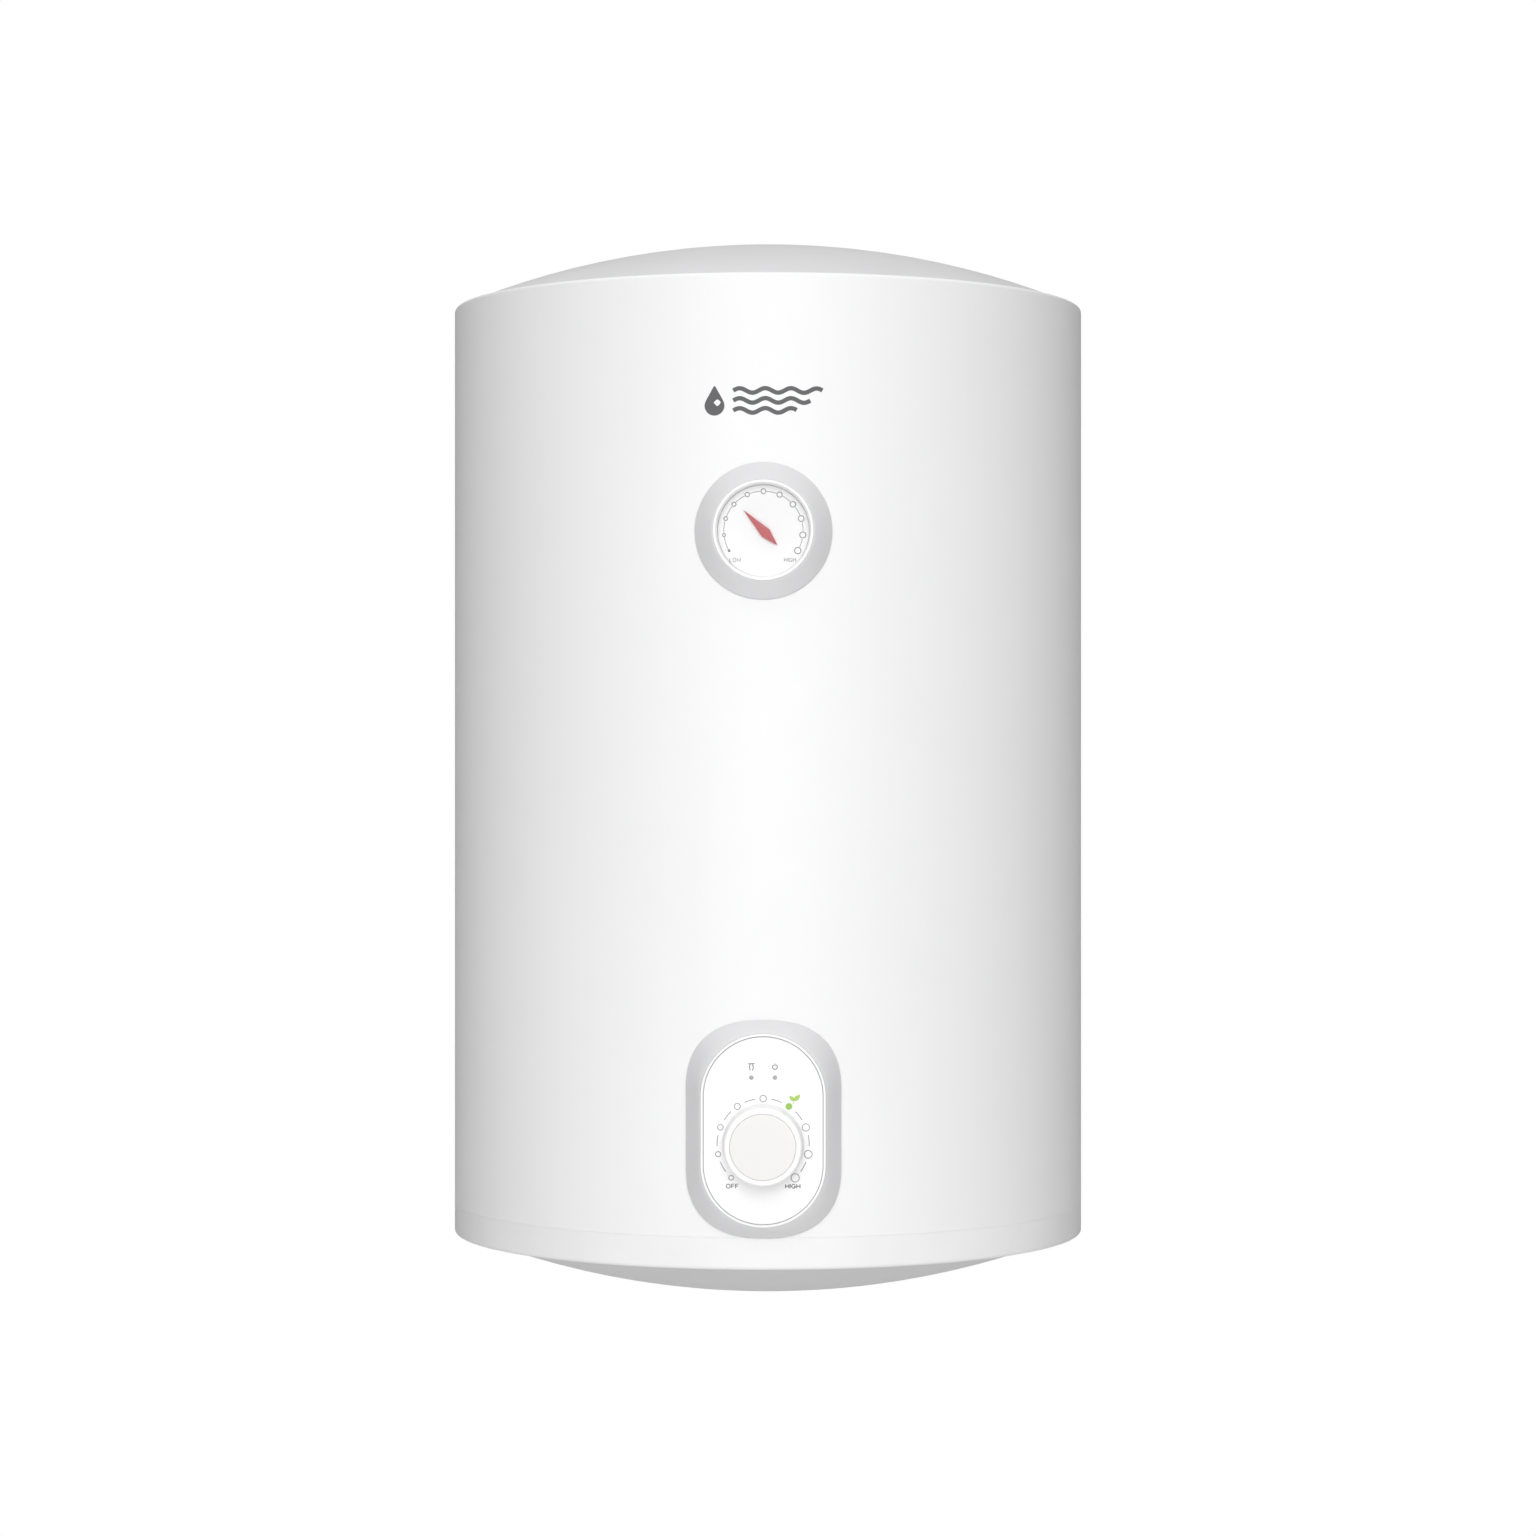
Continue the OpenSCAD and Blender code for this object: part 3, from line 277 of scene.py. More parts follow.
class Nodes:
    """A material's node tree, with short calls for the nodes that every finish here uses."""

    def __init__(self, name):
        self.material = bpy.data.materials.new(name)
        self.material.use_nodes = True
        self.tree = self.material.node_tree
        self.shader = self.tree.nodes["Principled BSDF"]
        self.place = self.add("ShaderNodeTexCoord").outputs["Object"]

    def add(self, kind, **settings):
        node = self.tree.nodes.new(kind)
        for key, value in settings.items():
            setattr(node, key, value)
        return node

    def link(self, a, b):
        self.tree.links.new(a, b)

    def facing_front(self):
        """How far the surface faces the front: 1 straight on, 0 sideways or away."""
        split = self.add("ShaderNodeSeparateXYZ")
        self.link(self.add("ShaderNodeTexCoord").outputs["Normal"], split.inputs["Vector"])
        return self.math("MULTIPLY", split.outputs["Y"], -1.0)

    def noise(self, scale, detail=4.0, rough=0.5, stretch=(1, 1, 1)):
        mapping = self.add("ShaderNodeMapping")
        mapping.inputs["Scale"].default_value = stretch
        self.link(self.place, mapping.inputs["Vector"])
        node = self.add("ShaderNodeTexNoise")
        node.inputs["Scale"].default_value = scale
        node.inputs["Detail"].default_value = detail
        node.inputs["Roughness"].default_value = rough
        self.link(mapping.outputs["Vector"], node.inputs["Vector"])
        return node.outputs["Fac"]

    def ramp(self, value, low, high, out_low=0.0, out_high=1.0):
        node = self.add("ShaderNodeMapRange")
        node.inputs["From Min"].default_value = low
        node.inputs["From Max"].default_value = high
        node.inputs["To Min"].default_value = out_low
        node.inputs["To Max"].default_value = out_high
        self.link(value, node.inputs["Value"])
        return node.outputs["Result"]

    def mix(self, factor, first, second):
        node = self.add("ShaderNodeMix", data_type="RGBA")
        self.link(factor, node.inputs["Factor"])
        for socket, colour in ((node.inputs["A"], first), (node.inputs["B"], second)):
            if isinstance(colour, tuple):
                socket.default_value = (*colour, 1)
            else:
                self.link(colour, socket)
        return node.outputs["Result"]

    def math(self, operation, first, second):
        node = self.add("ShaderNodeMath", operation=operation)
        for socket, value in zip(node.inputs, (first, second)):
            if isinstance(value, (int, float)):
                socket.default_value = value
            else:
                self.link(value, socket)
        return node.outputs["Value"]

    def bump(self, height, distance, under=None):
        node = self.add("ShaderNodeBump")
        node.inputs["Strength"].default_value = 1.0
        node.inputs["Distance"].default_value = distance
        self.link(height, node.inputs["Height"])
        if under:
            self.link(under, node.inputs["Normal"])
        return node.outputs["Normal"]

    def colour(self, value):
        self.link(value, self.shader.inputs["Base Color"])

    def roughness(self, value):
        self.link(value, self.shader.inputs["Roughness"])

    def normal(self, value):
        self.link(value, self.shader.inputs["Normal"])

    def set(self, **values):
        for key, value in values.items():
            self.shader.inputs[key.replace("_", " ")].default_value = value


def shade(colour, factor):
    return tuple(min(1.0, c * factor) for c in colour)


def moulded(name, colour, rough=0.45, grain=0.006 * MM, grain_scale=2600, vary=0.03, side=None, **shader):
    """Moulded plastic: a fine spark-eroded grain and slow flow marks. The walls that don't face the front
    may get a painted shade, side: a darker tone that stands in for the shade the light leaves on them."""
    n = Nodes(name)
    flow = n.noise(14, 3, 0.5)
    speck = n.noise(grain_scale, 3, 0.6)
    tone = n.mix(n.ramp(flow, 0.3, 0.7), shade(colour, 1 - vary), shade(colour, 1 + vary / 3))
    # painted shade: walls turned away from the front take the darker tone side, by their normal
    if side:
        tone = n.mix(n.ramp(n.facing_front(), 0.35, 0.75), shade(colour, side), tone)
    n.colour(tone)
    n.roughness(n.ramp(n.math("ADD", n.math("MULTIPLY", flow, 0.6), n.math("MULTIPLY", speck, 0.4)),
                       0.3, 0.7, rough - 0.06, rough + 0.06))
    ripple = n.bump(n.noise(60, 2, 0.4), 0.02 * MM)
    n.normal(n.bump(speck, grain, ripple))
    n.set(**shader)
    return n.material


def powder_coat(name, colour, rough=0.5):
    """Baked powder coat: orange peel about 1.5 mm across over a slower waviness of the rolled sheet."""
    n = Nodes(name)
    tone = n.noise(5, 4, 0.55)
    n.colour(n.mix(n.ramp(tone, 0.3, 0.7), shade(colour, 0.985), colour))
    peel = n.noise(620, 2, 0.45)
    n.roughness(n.ramp(n.noise(40, 3, 0.5), 0.3, 0.7, rough - 0.04, rough + 0.04))
    sheet = n.bump(n.noise(9, 1, 0.3), 0.10 * MM)
    n.normal(n.bump(peel, 0.006 * MM, sheet))
    n.set(Coat_Weight=0.05, Coat_Roughness=0.3)
    return n.material


def zinc(name, colour=(0.60, 0.61, 0.63), rough=0.34):
    """Zinc-plated steel: pale blue-white plate with cloudy patches and fine rolling lines."""
    n = Nodes(name)
    cloud = n.noise(38, 5, 0.6)
    lines = n.noise(160, 3, 0.6, stretch=(1, 1, 14))
    warm = n.noise(17, 3, 0.5)
    base = n.mix(n.ramp(cloud, 0.35, 0.68), shade(colour, 0.86), shade(colour, 1.1))
    n.colour(n.mix(n.ramp(warm, 0.52, 0.72, 0, 0.35), base, (0.62, 0.60, 0.52)))
    n.roughness(n.ramp(n.math("ADD", n.math("MULTIPLY", cloud, 0.5), n.math("MULTIPLY", lines, 0.5)),
                       0.35, 0.65, rough - 0.1, rough + 0.14))
    n.normal(n.bump(lines, 0.01 * MM, n.bump(cloud, 0.03 * MM)))
    n.set(Metallic=1.0)
    return n.material


def metal(name, colour, stain, rough=0.3, lines=(1, 1, 1)):
    """Bare metal with drawn lines, handling stains and uneven polish."""
    n = Nodes(name)
    cloud = n.noise(70, 5, 0.6)
    drawn = n.noise(420, 2, 0.5, stretch=lines)
    n.colour(n.mix(n.ramp(cloud, 0.45, 0.8, 0, 0.8), colour, stain))
    n.roughness(n.ramp(cloud, 0.3, 0.7, rough - 0.08, rough + 0.15))
    n.normal(n.bump(drawn, 0.012 * MM))
    n.set(Metallic=1.0)
    return n.material


def foam(name):
    """Rigid foam: closed cells and a darker skin here and there."""
    n = Nodes(name)
    cells = n.add("ShaderNodeTexVoronoi")
    cells.inputs["Scale"].default_value = 900
    n.link(n.place, cells.inputs["Vector"])
    tone = n.noise(22, 4, 0.6)
    n.colour(n.mix(n.ramp(tone, 0.35, 0.7), (0.72, 0.55, 0.26), (0.88, 0.78, 0.5)))
    n.roughness(n.ramp(tone, 0.3, 0.7, 0.8, 0.95))
    n.normal(n.bump(cells.outputs["Distance"], 0.3 * MM, n.bump(tone, 1.5 * MM)))
    return n.material


def enamel(name):
    """Vitreous enamel: glassy deep blue with faint mottling and pinholes."""
    n = Nodes(name)
    mottle = n.noise(55, 5, 0.6)
    n.colour(n.mix(n.ramp(mottle, 0.35, 0.65), (0.012, 0.022, 0.06), (0.03, 0.055, 0.13)))
    n.roughness(n.ramp(mottle, 0.3, 0.7, 0.1, 0.24))
    n.normal(n.bump(n.noise(800, 2, 0.5), 0.02 * MM, n.bump(mottle, 0.08 * MM)))
    return n.material


def rubber(name, colour=(0.03, 0.03, 0.03)):
    n = Nodes(name)
    bloom = n.noise(50, 5, 0.65)
    n.colour(n.mix(n.ramp(bloom, 0.45, 0.75), colour, shade(colour, 1.8)))
    n.roughness(n.ramp(bloom, 0.3, 0.7, 0.55, 0.8))
    n.normal(n.bump(n.noise(1500, 2, 0.5), 0.01 * MM))
    return n.material


def earth_sleeve(name):
    """Green cable sleeve with its yellow stripes."""
    n = Nodes(name)
    stripes = n.add("ShaderNodeTexWave", wave_type="BANDS", bands_direction="DIAGONAL")
    stripes.inputs["Scale"].default_value = 130
    n.link(n.place, stripes.inputs["Vector"])
    n.colour(n.mix(n.ramp(stripes.outputs["Fac"], 0.45, 0.55), (0.04, 0.26, 0.05), (0.72, 0.6, 0.03)))
    n.roughness(n.ramp(n.noise(60), 0.3, 0.7, 0.35, 0.5))
    n.normal(n.bump(n.noise(900, 2, 0.5), 0.01 * MM))
    return n.material


def board(name):
    """Glass-fibre board: a woven base under green solder resist."""
    n = Nodes(name)
    weave = n.add("ShaderNodeTexBrick")
    weave.inputs["Scale"].default_value = 600
    n.link(n.place, weave.inputs["Vector"])
    n.colour(n.mix(n.ramp(weave.outputs["Fac"], 0.0, 1.0), (0.01, 0.12, 0.04), (0.02, 0.2, 0.07)))
    n.roughness(n.ramp(n.noise(90), 0.3, 0.7, 0.25, 0.4))
    n.normal(n.bump(weave.outputs["Fac"], 0.01 * MM))
    return n.material


def clear_sheet(name):
    """The gauge's window: clear, with the faintest smears in its gloss."""
    n = Nodes(name)
    smear = n.noise(35, 4, 0.6)
    n.colour(n.mix(n.ramp(smear, 0.3, 0.7), (0.97, 0.98, 0.99), (0.99, 0.99, 1.0)))
    n.roughness(n.ramp(smear, 0.35, 0.7, 0.02, 0.07))
    n.set(Alpha=0.035, IOR=1.45)
    return n.material


def ink(name, colour, rough=0.55):
    """Pad-printed ink: nearly even, with a slightly broken film."""
    n = Nodes(name)
    film = n.noise(1800, 3, 0.6)
    n.colour(n.mix(n.ramp(film, 0.3, 0.75), colour, shade(colour, 1.12)))
    n.roughness(n.ramp(film, 0.3, 0.7, rough - 0.08, rough + 0.08))
    n.normal(n.bump(film, 0.003 * MM))
    return n.material


CASE_WHITE = (0.88, 0.88, 0.885)
TRIM_GREY = (0.71, 0.71, 0.72)
COVER_GREY = (0.70, 0.70, 0.71)

MATERIALS = {
    "casing_white": powder_coat("casing_powder_coat", CASE_WHITE),
    "pan_white": moulded("pan_plastic", CASE_WHITE, rough=0.4),
    "cover_grey": moulded("cover_plastic", COVER_GREY, rough=0.5, grain_scale=1800, grain=0.012 * MM),
    "trim_grey": moulded("trim_plastic", TRIM_GREY, rough=0.42),
    "fascia_white": moulded("fascia_plastic", (0.93, 0.93, 0.93), rough=0.38),
    # the knob's drafted side walls get a painted shade, 6% darker than its front, for the shade the light leaves
    # on them
    "knob_white_painted_side_shade": moulded("knob_plastic_painted_side_shade", (0.93, 0.93, 0.93), rough=0.38, side=0.94),
    "knob_cream": moulded("knob_cap_plastic", (0.84, 0.832, 0.815), rough=0.5),
    "foam": foam("foam"),
    "enamel_blue": enamel("tank_enamel"),
    "zinc_steel": zinc("zinc_plate"),
    "copper": metal("copper", (0.72, 0.34, 0.2), (0.36, 0.16, 0.1), 0.28),
    "brass": metal("brass", (0.75, 0.55, 0.24), (0.45, 0.3, 0.12), 0.25),
    "magnesium": metal("magnesium", (0.62, 0.63, 0.62), (0.4, 0.41, 0.4), 0.42, (1, 1, 0.1)),
    "black_rubber": rubber("rubber"),
    "ivory_ceramic": moulded("ceramic", (0.82, 0.78, 0.68), rough=0.7, grain=0.02 * MM),
    "ivory_plastic": moulded("ivory_plastic", (0.76, 0.7, 0.55), rough=0.5),
    "black_plastic": moulded("black_plastic", (0.025, 0.025, 0.028), rough=0.42, vary=0.2),
    "dark_grey_plastic": moulded("tub_plastic", (0.1, 0.1, 0.11), rough=0.5, vary=0.1),
    "board_green": board("board"),
    "lamp_clear": moulded("lamp_lens", (0.36, 0.37, 0.37), rough=0.3),
    "clear_glass": clear_sheet("gauge_window"),
    "dial_white": moulded("dial_card", (0.90, 0.90, 0.90), rough=0.6),
    "needle_red": moulded("needle_paint", (0.46, 0.035, 0.045), rough=0.45),
    "mark_blue": moulded("blue_ring", (0.02, 0.09, 0.42), rough=0.4, vary=0.1),
    "mark_red": moulded("red_ring", (0.45, 0.02, 0.02), rough=0.4, vary=0.1),
    "button_red": moulded("button_plastic", (0.55, 0.02, 0.02), rough=0.35, vary=0.1),
    "wire_brown": rubber("brown_sleeve", (0.12, 0.045, 0.02)),
    "wire_blue": rubber("blue_sleeve", (0.02, 0.09, 0.3)),
    "wire_green": earth_sleeve("earth_sleeve"),
}
GREY_INK = ink("grey_ink", (0.12, 0.12, 0.12))
PALE_INK = ink("pale_grey_ink", (0.29, 0.29, 0.29))
GAUGE_INK = ink("gauge_grey_ink", (0.17, 0.17, 0.17))
# painted shade: a grey line laid in the fascia's groove stands in for the shadow there; it is not a print
GROOVE_PAINTED_SHADE = ink("groove_painted_shade", (0.42, 0.42, 0.42))
DARK_INK = ink("dark_grey_ink", (0.095, 0.095, 0.1))
GREEN_INK = ink("green_ink", (0.27, 0.5, 0.09))
LEAF_INK = ink("leaf_ink", (0.38, 0.58, 0.12))


def dress_cad_nodes():
    """Gives every CAD node the finish of its own material slot."""
    for row in frame["record"]["subparts"]:
        node = frame["nodes"][row["node"]]
        node.data.materials.clear()
        node.data.materials.append(MATERIALS[row["material_slot"]])


# ------------------------------------------------------------------ control panel

PANEL = {
    "outer_w": bezel_hi.x - bezel_lo.x,
    "outer_h": bezel_hi.z - bezel_lo.z,
    "fascia_w": fascia_hi.x - fascia_lo.x,
    "fascia_h": fascia_hi.z - fascia_lo.z,
    "front": front_y - fascia_lo.y,
}
FASCIA_STEP = 0.5 * MM         # how far the face lies below its rim
GROOVE_INSET = 1.9 * MM        # from the face's outer edge to the middle of its groove
PANEL_MARKS = 9
PANEL_PITCH = 34               # degrees from one mark to the next
PANEL_START = -PANEL_PITCH * (PANEL_MARKS - 1) / 2
LAMP_UP = (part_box("power_lamp")[0].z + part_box("power_lamp")[1].z) / 2 - panel_z
LAMP_X = (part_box("power_lamp")[0].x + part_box("power_lamp")[1].x) / 2


def stadium_ring(width, height, n=ROUND):
    """A stadium's outline, clockwise from straight up. All its points lie on the two end arcs."""
    r = width / 2
    straight = height / 2 - r
    points = []
    for k in range(n):
        a = TAU * k / n
        u, v = r * math.sin(a), r * math.cos(a)
        points.append((u, v + straight * (1 if v >= 0 else -1)))
    return points


def flattened_ring(width, height, n=ROUND):
    """The bezel's outline: straight sides, and ends flatter than a half circle."""
    end, power = 46.2 * MM, 2 / 2.4
    points = []
    for k in range(n):
        a = TAU * k / n
        s, c = math.sin(a), math.cos(a)
        u = math.copysign(width / 2 * abs(s) ** power, s)
        v = math.copysign(height / 2 - end + end * abs(c) ** power, c if abs(c) > 1e-9 else 1)
        points.append((u, v))
    return points


def make_control_bezel():
    """The grey surround: a foot on the casing, a sloping crowned face and a rounded inner edge."""
    outer = flattened_ring(PANEL["outer_w"], PANEL["outer_h"])
    gap = 0.05 * MM
    inner = stadium_ring(PANEL["fascia_w"] + 2 * gap, PANEL["fascia_h"] + 2 * gap)
    foot_gap, land, front = 0.2 * MM, 1.5 * MM, PANEL["front"] - 1 * MM
    slope = [(0.0, 0.0), (0.012, 0.05), (0.04, 0.1), (0.1, 0.17), (0.22, 0.31), (0.38, 0.48), (0.55, 0.66),
             (0.7, 0.8), (0.82, 0.9), (0.9, 0.955), (0.95, 0.985), (0.98, 1.0), (0.995, 0.99), (1.0, 0.96)]
    rings = [[at_front(u, v, foot_gap - sag(u), panel_z) for u, v in outer]]
    for across, rise in slope:
        ring = []
        for (ou, ov), (iu, iv) in zip(outer, inner):
            u, v = ou + (iu - ou) * across, ov + (iv - ov) * across
            foot = foot_gap - sag(ou) + land
            ring.append(at_front(u, v, foot + (front - foot) * rise, panel_z))
        rings.append(ring)
    rings.append([at_front(u, v, foot_gap - sag(u), panel_z) for u, v in inner])
    verts, faces = loft(rings, closed_section=True)
    add_piece("control_bezel_shell", verts, faces, "heater", MATERIALS["trim_grey"], "trim_grey",
              ["control_bezel"], angle=50)


def make_control_fascia():
    """The white face: its rim stands a little proud, with a fine groove inside it."""
    w, h, front = PANEL["fascia_w"], PANEL["fascia_h"], PANEL["front"]
    face = front - FASCIA_STEP
    groove = face - 1.2 * MM
    plate_back, skirt_back = front - 2.5 * MM, -3.2 * MM
    off_case, hole, wall = 0.25 * MM, 4.5 * MM, 2.1 * MM
    # (inset from the outer edge, level): the edge, the rim, the groove and the face
    steps = [(0.0, skirt_back), (0.0, front - 0.45 * MM), (0.08 * MM, front - 0.2 * MM),
             (0.22 * MM, front - 0.05 * MM), (0.45 * MM, front), (1.4 * MM, front),
             (1.52 * MM, front - 0.06 * MM), (1.58 * MM, front - 0.2 * MM),
             (GROOVE_INSET - 0.3 * MM, groove), (GROOVE_INSET + 0.3 * MM, groove),
             (2.22 * MM, face - 0.08 * MM), (2.3 * MM, face), (2.7 * MM, face)]

    def outline_at(inset, level):
        """The face's outline at one level, kept just off the casing where that is behind its front."""
        ring = []
        for u, v in stadium_ring(w - 2 * inset, h - 2 * inset):
            out = max(level, off_case - sag(u)) if level < 0 else level
            ring.append(at_front(u, v, out, panel_z))
        return ring

    rings = [outline_at(inset, level) for inset, level in steps]
    # in to the hole for the spindle, and back through the plate
    down = knob_z - panel_z
    for level in (face, plate_back):
        rings.append([at_front(u, v + down, level, panel_z) for u, v in circle(hole, ROUND)])
    rings += [outline_at(wall, level) for level in (plate_back, skirt_back)]
    verts, faces = loft(rings, closed_section=True)
    add_piece("control_face", verts, faces, "heater", MATERIALS["fascia_white"], "fascia_white",
              ["control_fascia"], angle=40)

    def in_groove(u, v, lift):
        return at_front(u, v, groove + lift, panel_z)

    # the groove's shadow is painted: a grey strip laid on the groove's floor
    path = stadium_ring(w - 2 * GROOVE_INSET, h - 2 * GROOVE_INSET)
    line = stroke(path, 0.5 * MM, in_groove, SKIN, closed=True)
    add_piece("face_groove_shade", *line, "heater", GROOVE_PAINTED_SHADE)


def on_face(u, v, w):
    """A point on the control panel's face, measured from the knob's centre."""
    return at_front(u, v, PANEL["front"] - FASCIA_STEP + w, knob_z)


def make_panel_marks():
    """The scale around the knob: circles that grow clockwise, short dashes between them, and two words."""
    ring_r, line = 30.3 * MM, 0.6 * MM
    smallest, largest = 3.7, 6.0
    green, green_r = 5, 2.25 * MM
    dash_from, dash_share = 0.3, 0.4
    parts = []
    for k in range(PANEL_MARKS):
        size = (smallest + (largest - smallest) * k / (PANEL_MARKS - 1)) * MM
        a = math.radians(PANEL_START + PANEL_PITCH * k)
        centre = (ring_r * math.sin(a), ring_r * math.cos(a))
        if k == green:
            green_mark = disc(centre, green_r, on_face, SKIN)
        else:
            parts.append(ring_stroke(centre, (size - line) / 2, line, on_face, SKIN))
        if k < PANEL_MARKS - 1:
            start = PANEL_START + PANEL_PITCH * (k + dash_from)
            dash = arc((0, 0), ring_r, start, start + PANEL_PITCH * dash_share, 8)
            parts.append(stroke(dash, line, on_face, SKIN))
    add_piece("panel_scale", *joined(parts), "heater", PALE_INK)
    add_piece("panel_green_mark", *green_mark, "heater", GREEN_INK)

    words = word("OFF", (-20.3 * MM, -27.3 * MM), 2.6 * MM, 0.55 * MM, on_face, SKIN, stretch=1.35)
    words += word("HIGH", (19.5 * MM, -27.3 * MM), 2.6 * MM, 0.6 * MM, on_face, SKIN, stretch=1.35)
    add_piece("panel_words", *joined(words), "heater", GREY_INK)


def leaf(base, tip, width, steps=10):
    """A pointed leaf's outline from base to tip."""
    base, tip = Vector(base), Vector(tip)
    along = tip - base
    side = Vector((-along.y, along.x)).normalized()
    near, far = [], []
    for k in range(1, steps):
        t = k / steps
        bulge = math.sin(math.pi * t ** 0.85) * width / 2
        near.append(tuple(base + along * t + side * bulge))
        far.append(tuple(base + along * t - side * bulge))
    return [tuple(base), *near, tuple(tip), *reversed(far)]


def make_panel_icons():
    """A two-leaf sprout by the green mark, and a symbol over each lamp."""
    root = (20.3 * MM, 28.7 * MM)
    leaves = [prism(leaf(root, (17.3 * MM, 32.2 * MM), 2.6 * MM), on_face, SKIN),
              prism(leaf(root, (24.4 * MM, 33.0 * MM), 3.0 * MM), on_face, SKIN)]
    stem = stroke([(20.3 * MM, 28.8 * MM), (20.0 * MM, 27.6 * MM), (19.3 * MM, 26.4 * MM)],
                  0.5 * MM, on_face, SKIN)
    add_piece("panel_sprout", *joined([*leaves, stem]), "heater", LEAF_INK)

    # a hairpin element under its flange, and the usual ring and bar
    rise = LAMP_UP + panel_z - knob_z + 7 * MM
    line = 0.6 * MM
    flange = [(-LAMP_X + side * 2.1 * MM, rise + 2.1 * MM) for side in (-1, 1)]
    parts = [stroke(flange, line, on_face, SKIN)]
    for side in (-1, 1):
        leg = []
        for t in range(9):
            out = (0.75 + 0.45 * math.sin(math.pi * t / 8)) * MM
            leg.append((-LAMP_X + side * out, rise + (1.7 - 0.5 * t) * MM))
        parts.append(stroke(leg, line, on_face, SKIN))
    parts.append(stroke(arc((LAMP_X, rise), 1.55 * MM, 30, 330, 24), line, on_face, SKIN))
    parts.append(stroke([(LAMP_X, rise + 0.5 * MM), (LAMP_X, rise + 2.2 * MM)], line, on_face, SKIN))
    add_piece("panel_icons", *joined(parts), "heater", GREY_INK)


def make_lamps():
    """Two small domed light pipes set in the face."""
    r, dome, base = 1.5 * MM, 0.3 * MM, 3.6 * MM
    flange_r, flange_top = 2.3 * MM, base + 1.4 * MM
    edge = PANEL["front"] - FASCIA_STEP - 0.05 * MM
    profile = [(0.0, base), (flange_r, base), (flange_r, flange_top), (r, flange_top), (r, edge)]
    profile += [(r * math.cos(t * math.pi / 16), edge + dome * math.sin(t * math.pi / 16))
                for t in range(1, 8)]
    for name, node, x in (("lamp_dome_power", "power_lamp", LAMP_X),
                          ("lamp_dome_heating", "heating_lamp", -LAMP_X)):
        rings = [[at_front(u + x, v + LAMP_UP, w, panel_z) for u, v in circle(max(q, 0.01 * MM), 48)]
                 for q, w in profile]
        verts, faces = loft(rings, caps=(True, True))
        add_piece(name, verts, faces, "heater", MATERIALS["lamp_clear"], "lamp_clear", [node])


# ------------------------------------------------------------------ knob


def make_knob():
    """The knob: a drafted skirt, a rolled front ring with a pointer dimple, and a recess for the cap."""
    foot, front = front_y - knob_hi.y, front_y - knob_lo.y
    r_foot = (knob_hi.x - knob_lo.x) / 2
    r_front, r_cap = 25.6 * MM, 21.8 * MM
    off = math.radians(PANEL_START)
    seat, under = front - 1.2 * MM, front - 3.2 * MM
    wall = 1.8 * MM
    pointer_deep, pointer_w = 0.35 * MM, 0.6 * MM
    outline = [(r_foot - wall, foot), (r_foot, foot), (r_foot, foot + 1.0 * MM),
               (r_front + 0.1 * MM, front - 1.0 * MM), (r_front - 1.0 * MM, front), (r_cap, front),
               (r_cap, seat), (0.0, seat), (0.0, under), (r_front - wall, under)]
    radii = {1: 0.2 * MM, 2: 0.3 * MM, 3: 0.6 * MM, 4: 0.6 * MM, 5: 0.35 * MM, 9: 0.6 * MM}
    profile = soften(outline, radii, 6)
    n = 360
    rings = []
    for r, w in profile:
        on_ring = r_cap + 0.6 * MM < r < r_front - 0.4 * MM and w > front - 0.5 * MM
        reach = max(r, 0.01 * MM)
        ring = []
        for k in range(n):
            a = TAU * k / n
            away = math.remainder(a - off, TAU) * r
            dip = pointer_deep * math.exp(-((away / pointer_w) ** 2)) if on_ring else 0.0
            ring.append(at_front(reach * math.sin(a), reach * math.cos(a), w - dip, knob_z))
        rings.append(ring)
    verts, faces = loft(rings, closed_section=True)
    # the shell's side walls carry the knob material's painted shade
    add_piece("knob_shell", verts, faces, "knob", MATERIALS["knob_white_painted_side_shade"], "fascia_white",
              ["control_knob"])

    disc_r = r_cap - 0.15 * MM
    top, crown = front - 0.15 * MM, 0.12 * MM
    cap_profile = [(0.0, seat), (disc_r, seat), (disc_r, top - 0.45 * MM),
                   (disc_r - 0.12 * MM, top - 0.2 * MM), (disc_r - 0.4 * MM, top - 0.05 * MM)]
    for t in range(9):
        share = 1 - t / 8
        cap_profile.append(((disc_r - 0.8 * MM) * share, top - 0.03 * MM + crown * (1 - share ** 2)))
    verts, faces = revolve_front(cap_profile, knob_z, n)
    add_piece("knob_disc", verts, faces, "knob", MATERIALS["knob_cream"], "knob_cream", ["knob_cap"])


# ------------------------------------------------------------------ gauge


def half_width(node):
    lo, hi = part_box(node)
    return (hi.x - lo.x) / 2


GAUGE = {
    "bezel_r": half_width("gauge_bezel"),
    "cup_r": half_width("gauge_rim"),
    "rim_w": (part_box("gauge_rim")[1].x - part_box("gauge_lens")[1].x) + 0.05 * MM,
    "rim_front": front_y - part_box("gauge_rim")[0].y,
    "dial_r": half_width("gauge_dial"),
    "dial_face": front_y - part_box("gauge_dial")[0].y,
}
GAUGE_MARKS = 11
GAUGE_PITCH = 24               # degrees from one mark to the next
GAUGE_START = -GAUGE_PITCH * (GAUGE_MARKS - 1) / 2
NEEDLE_TURN = -44              # degrees from straight up, at rest


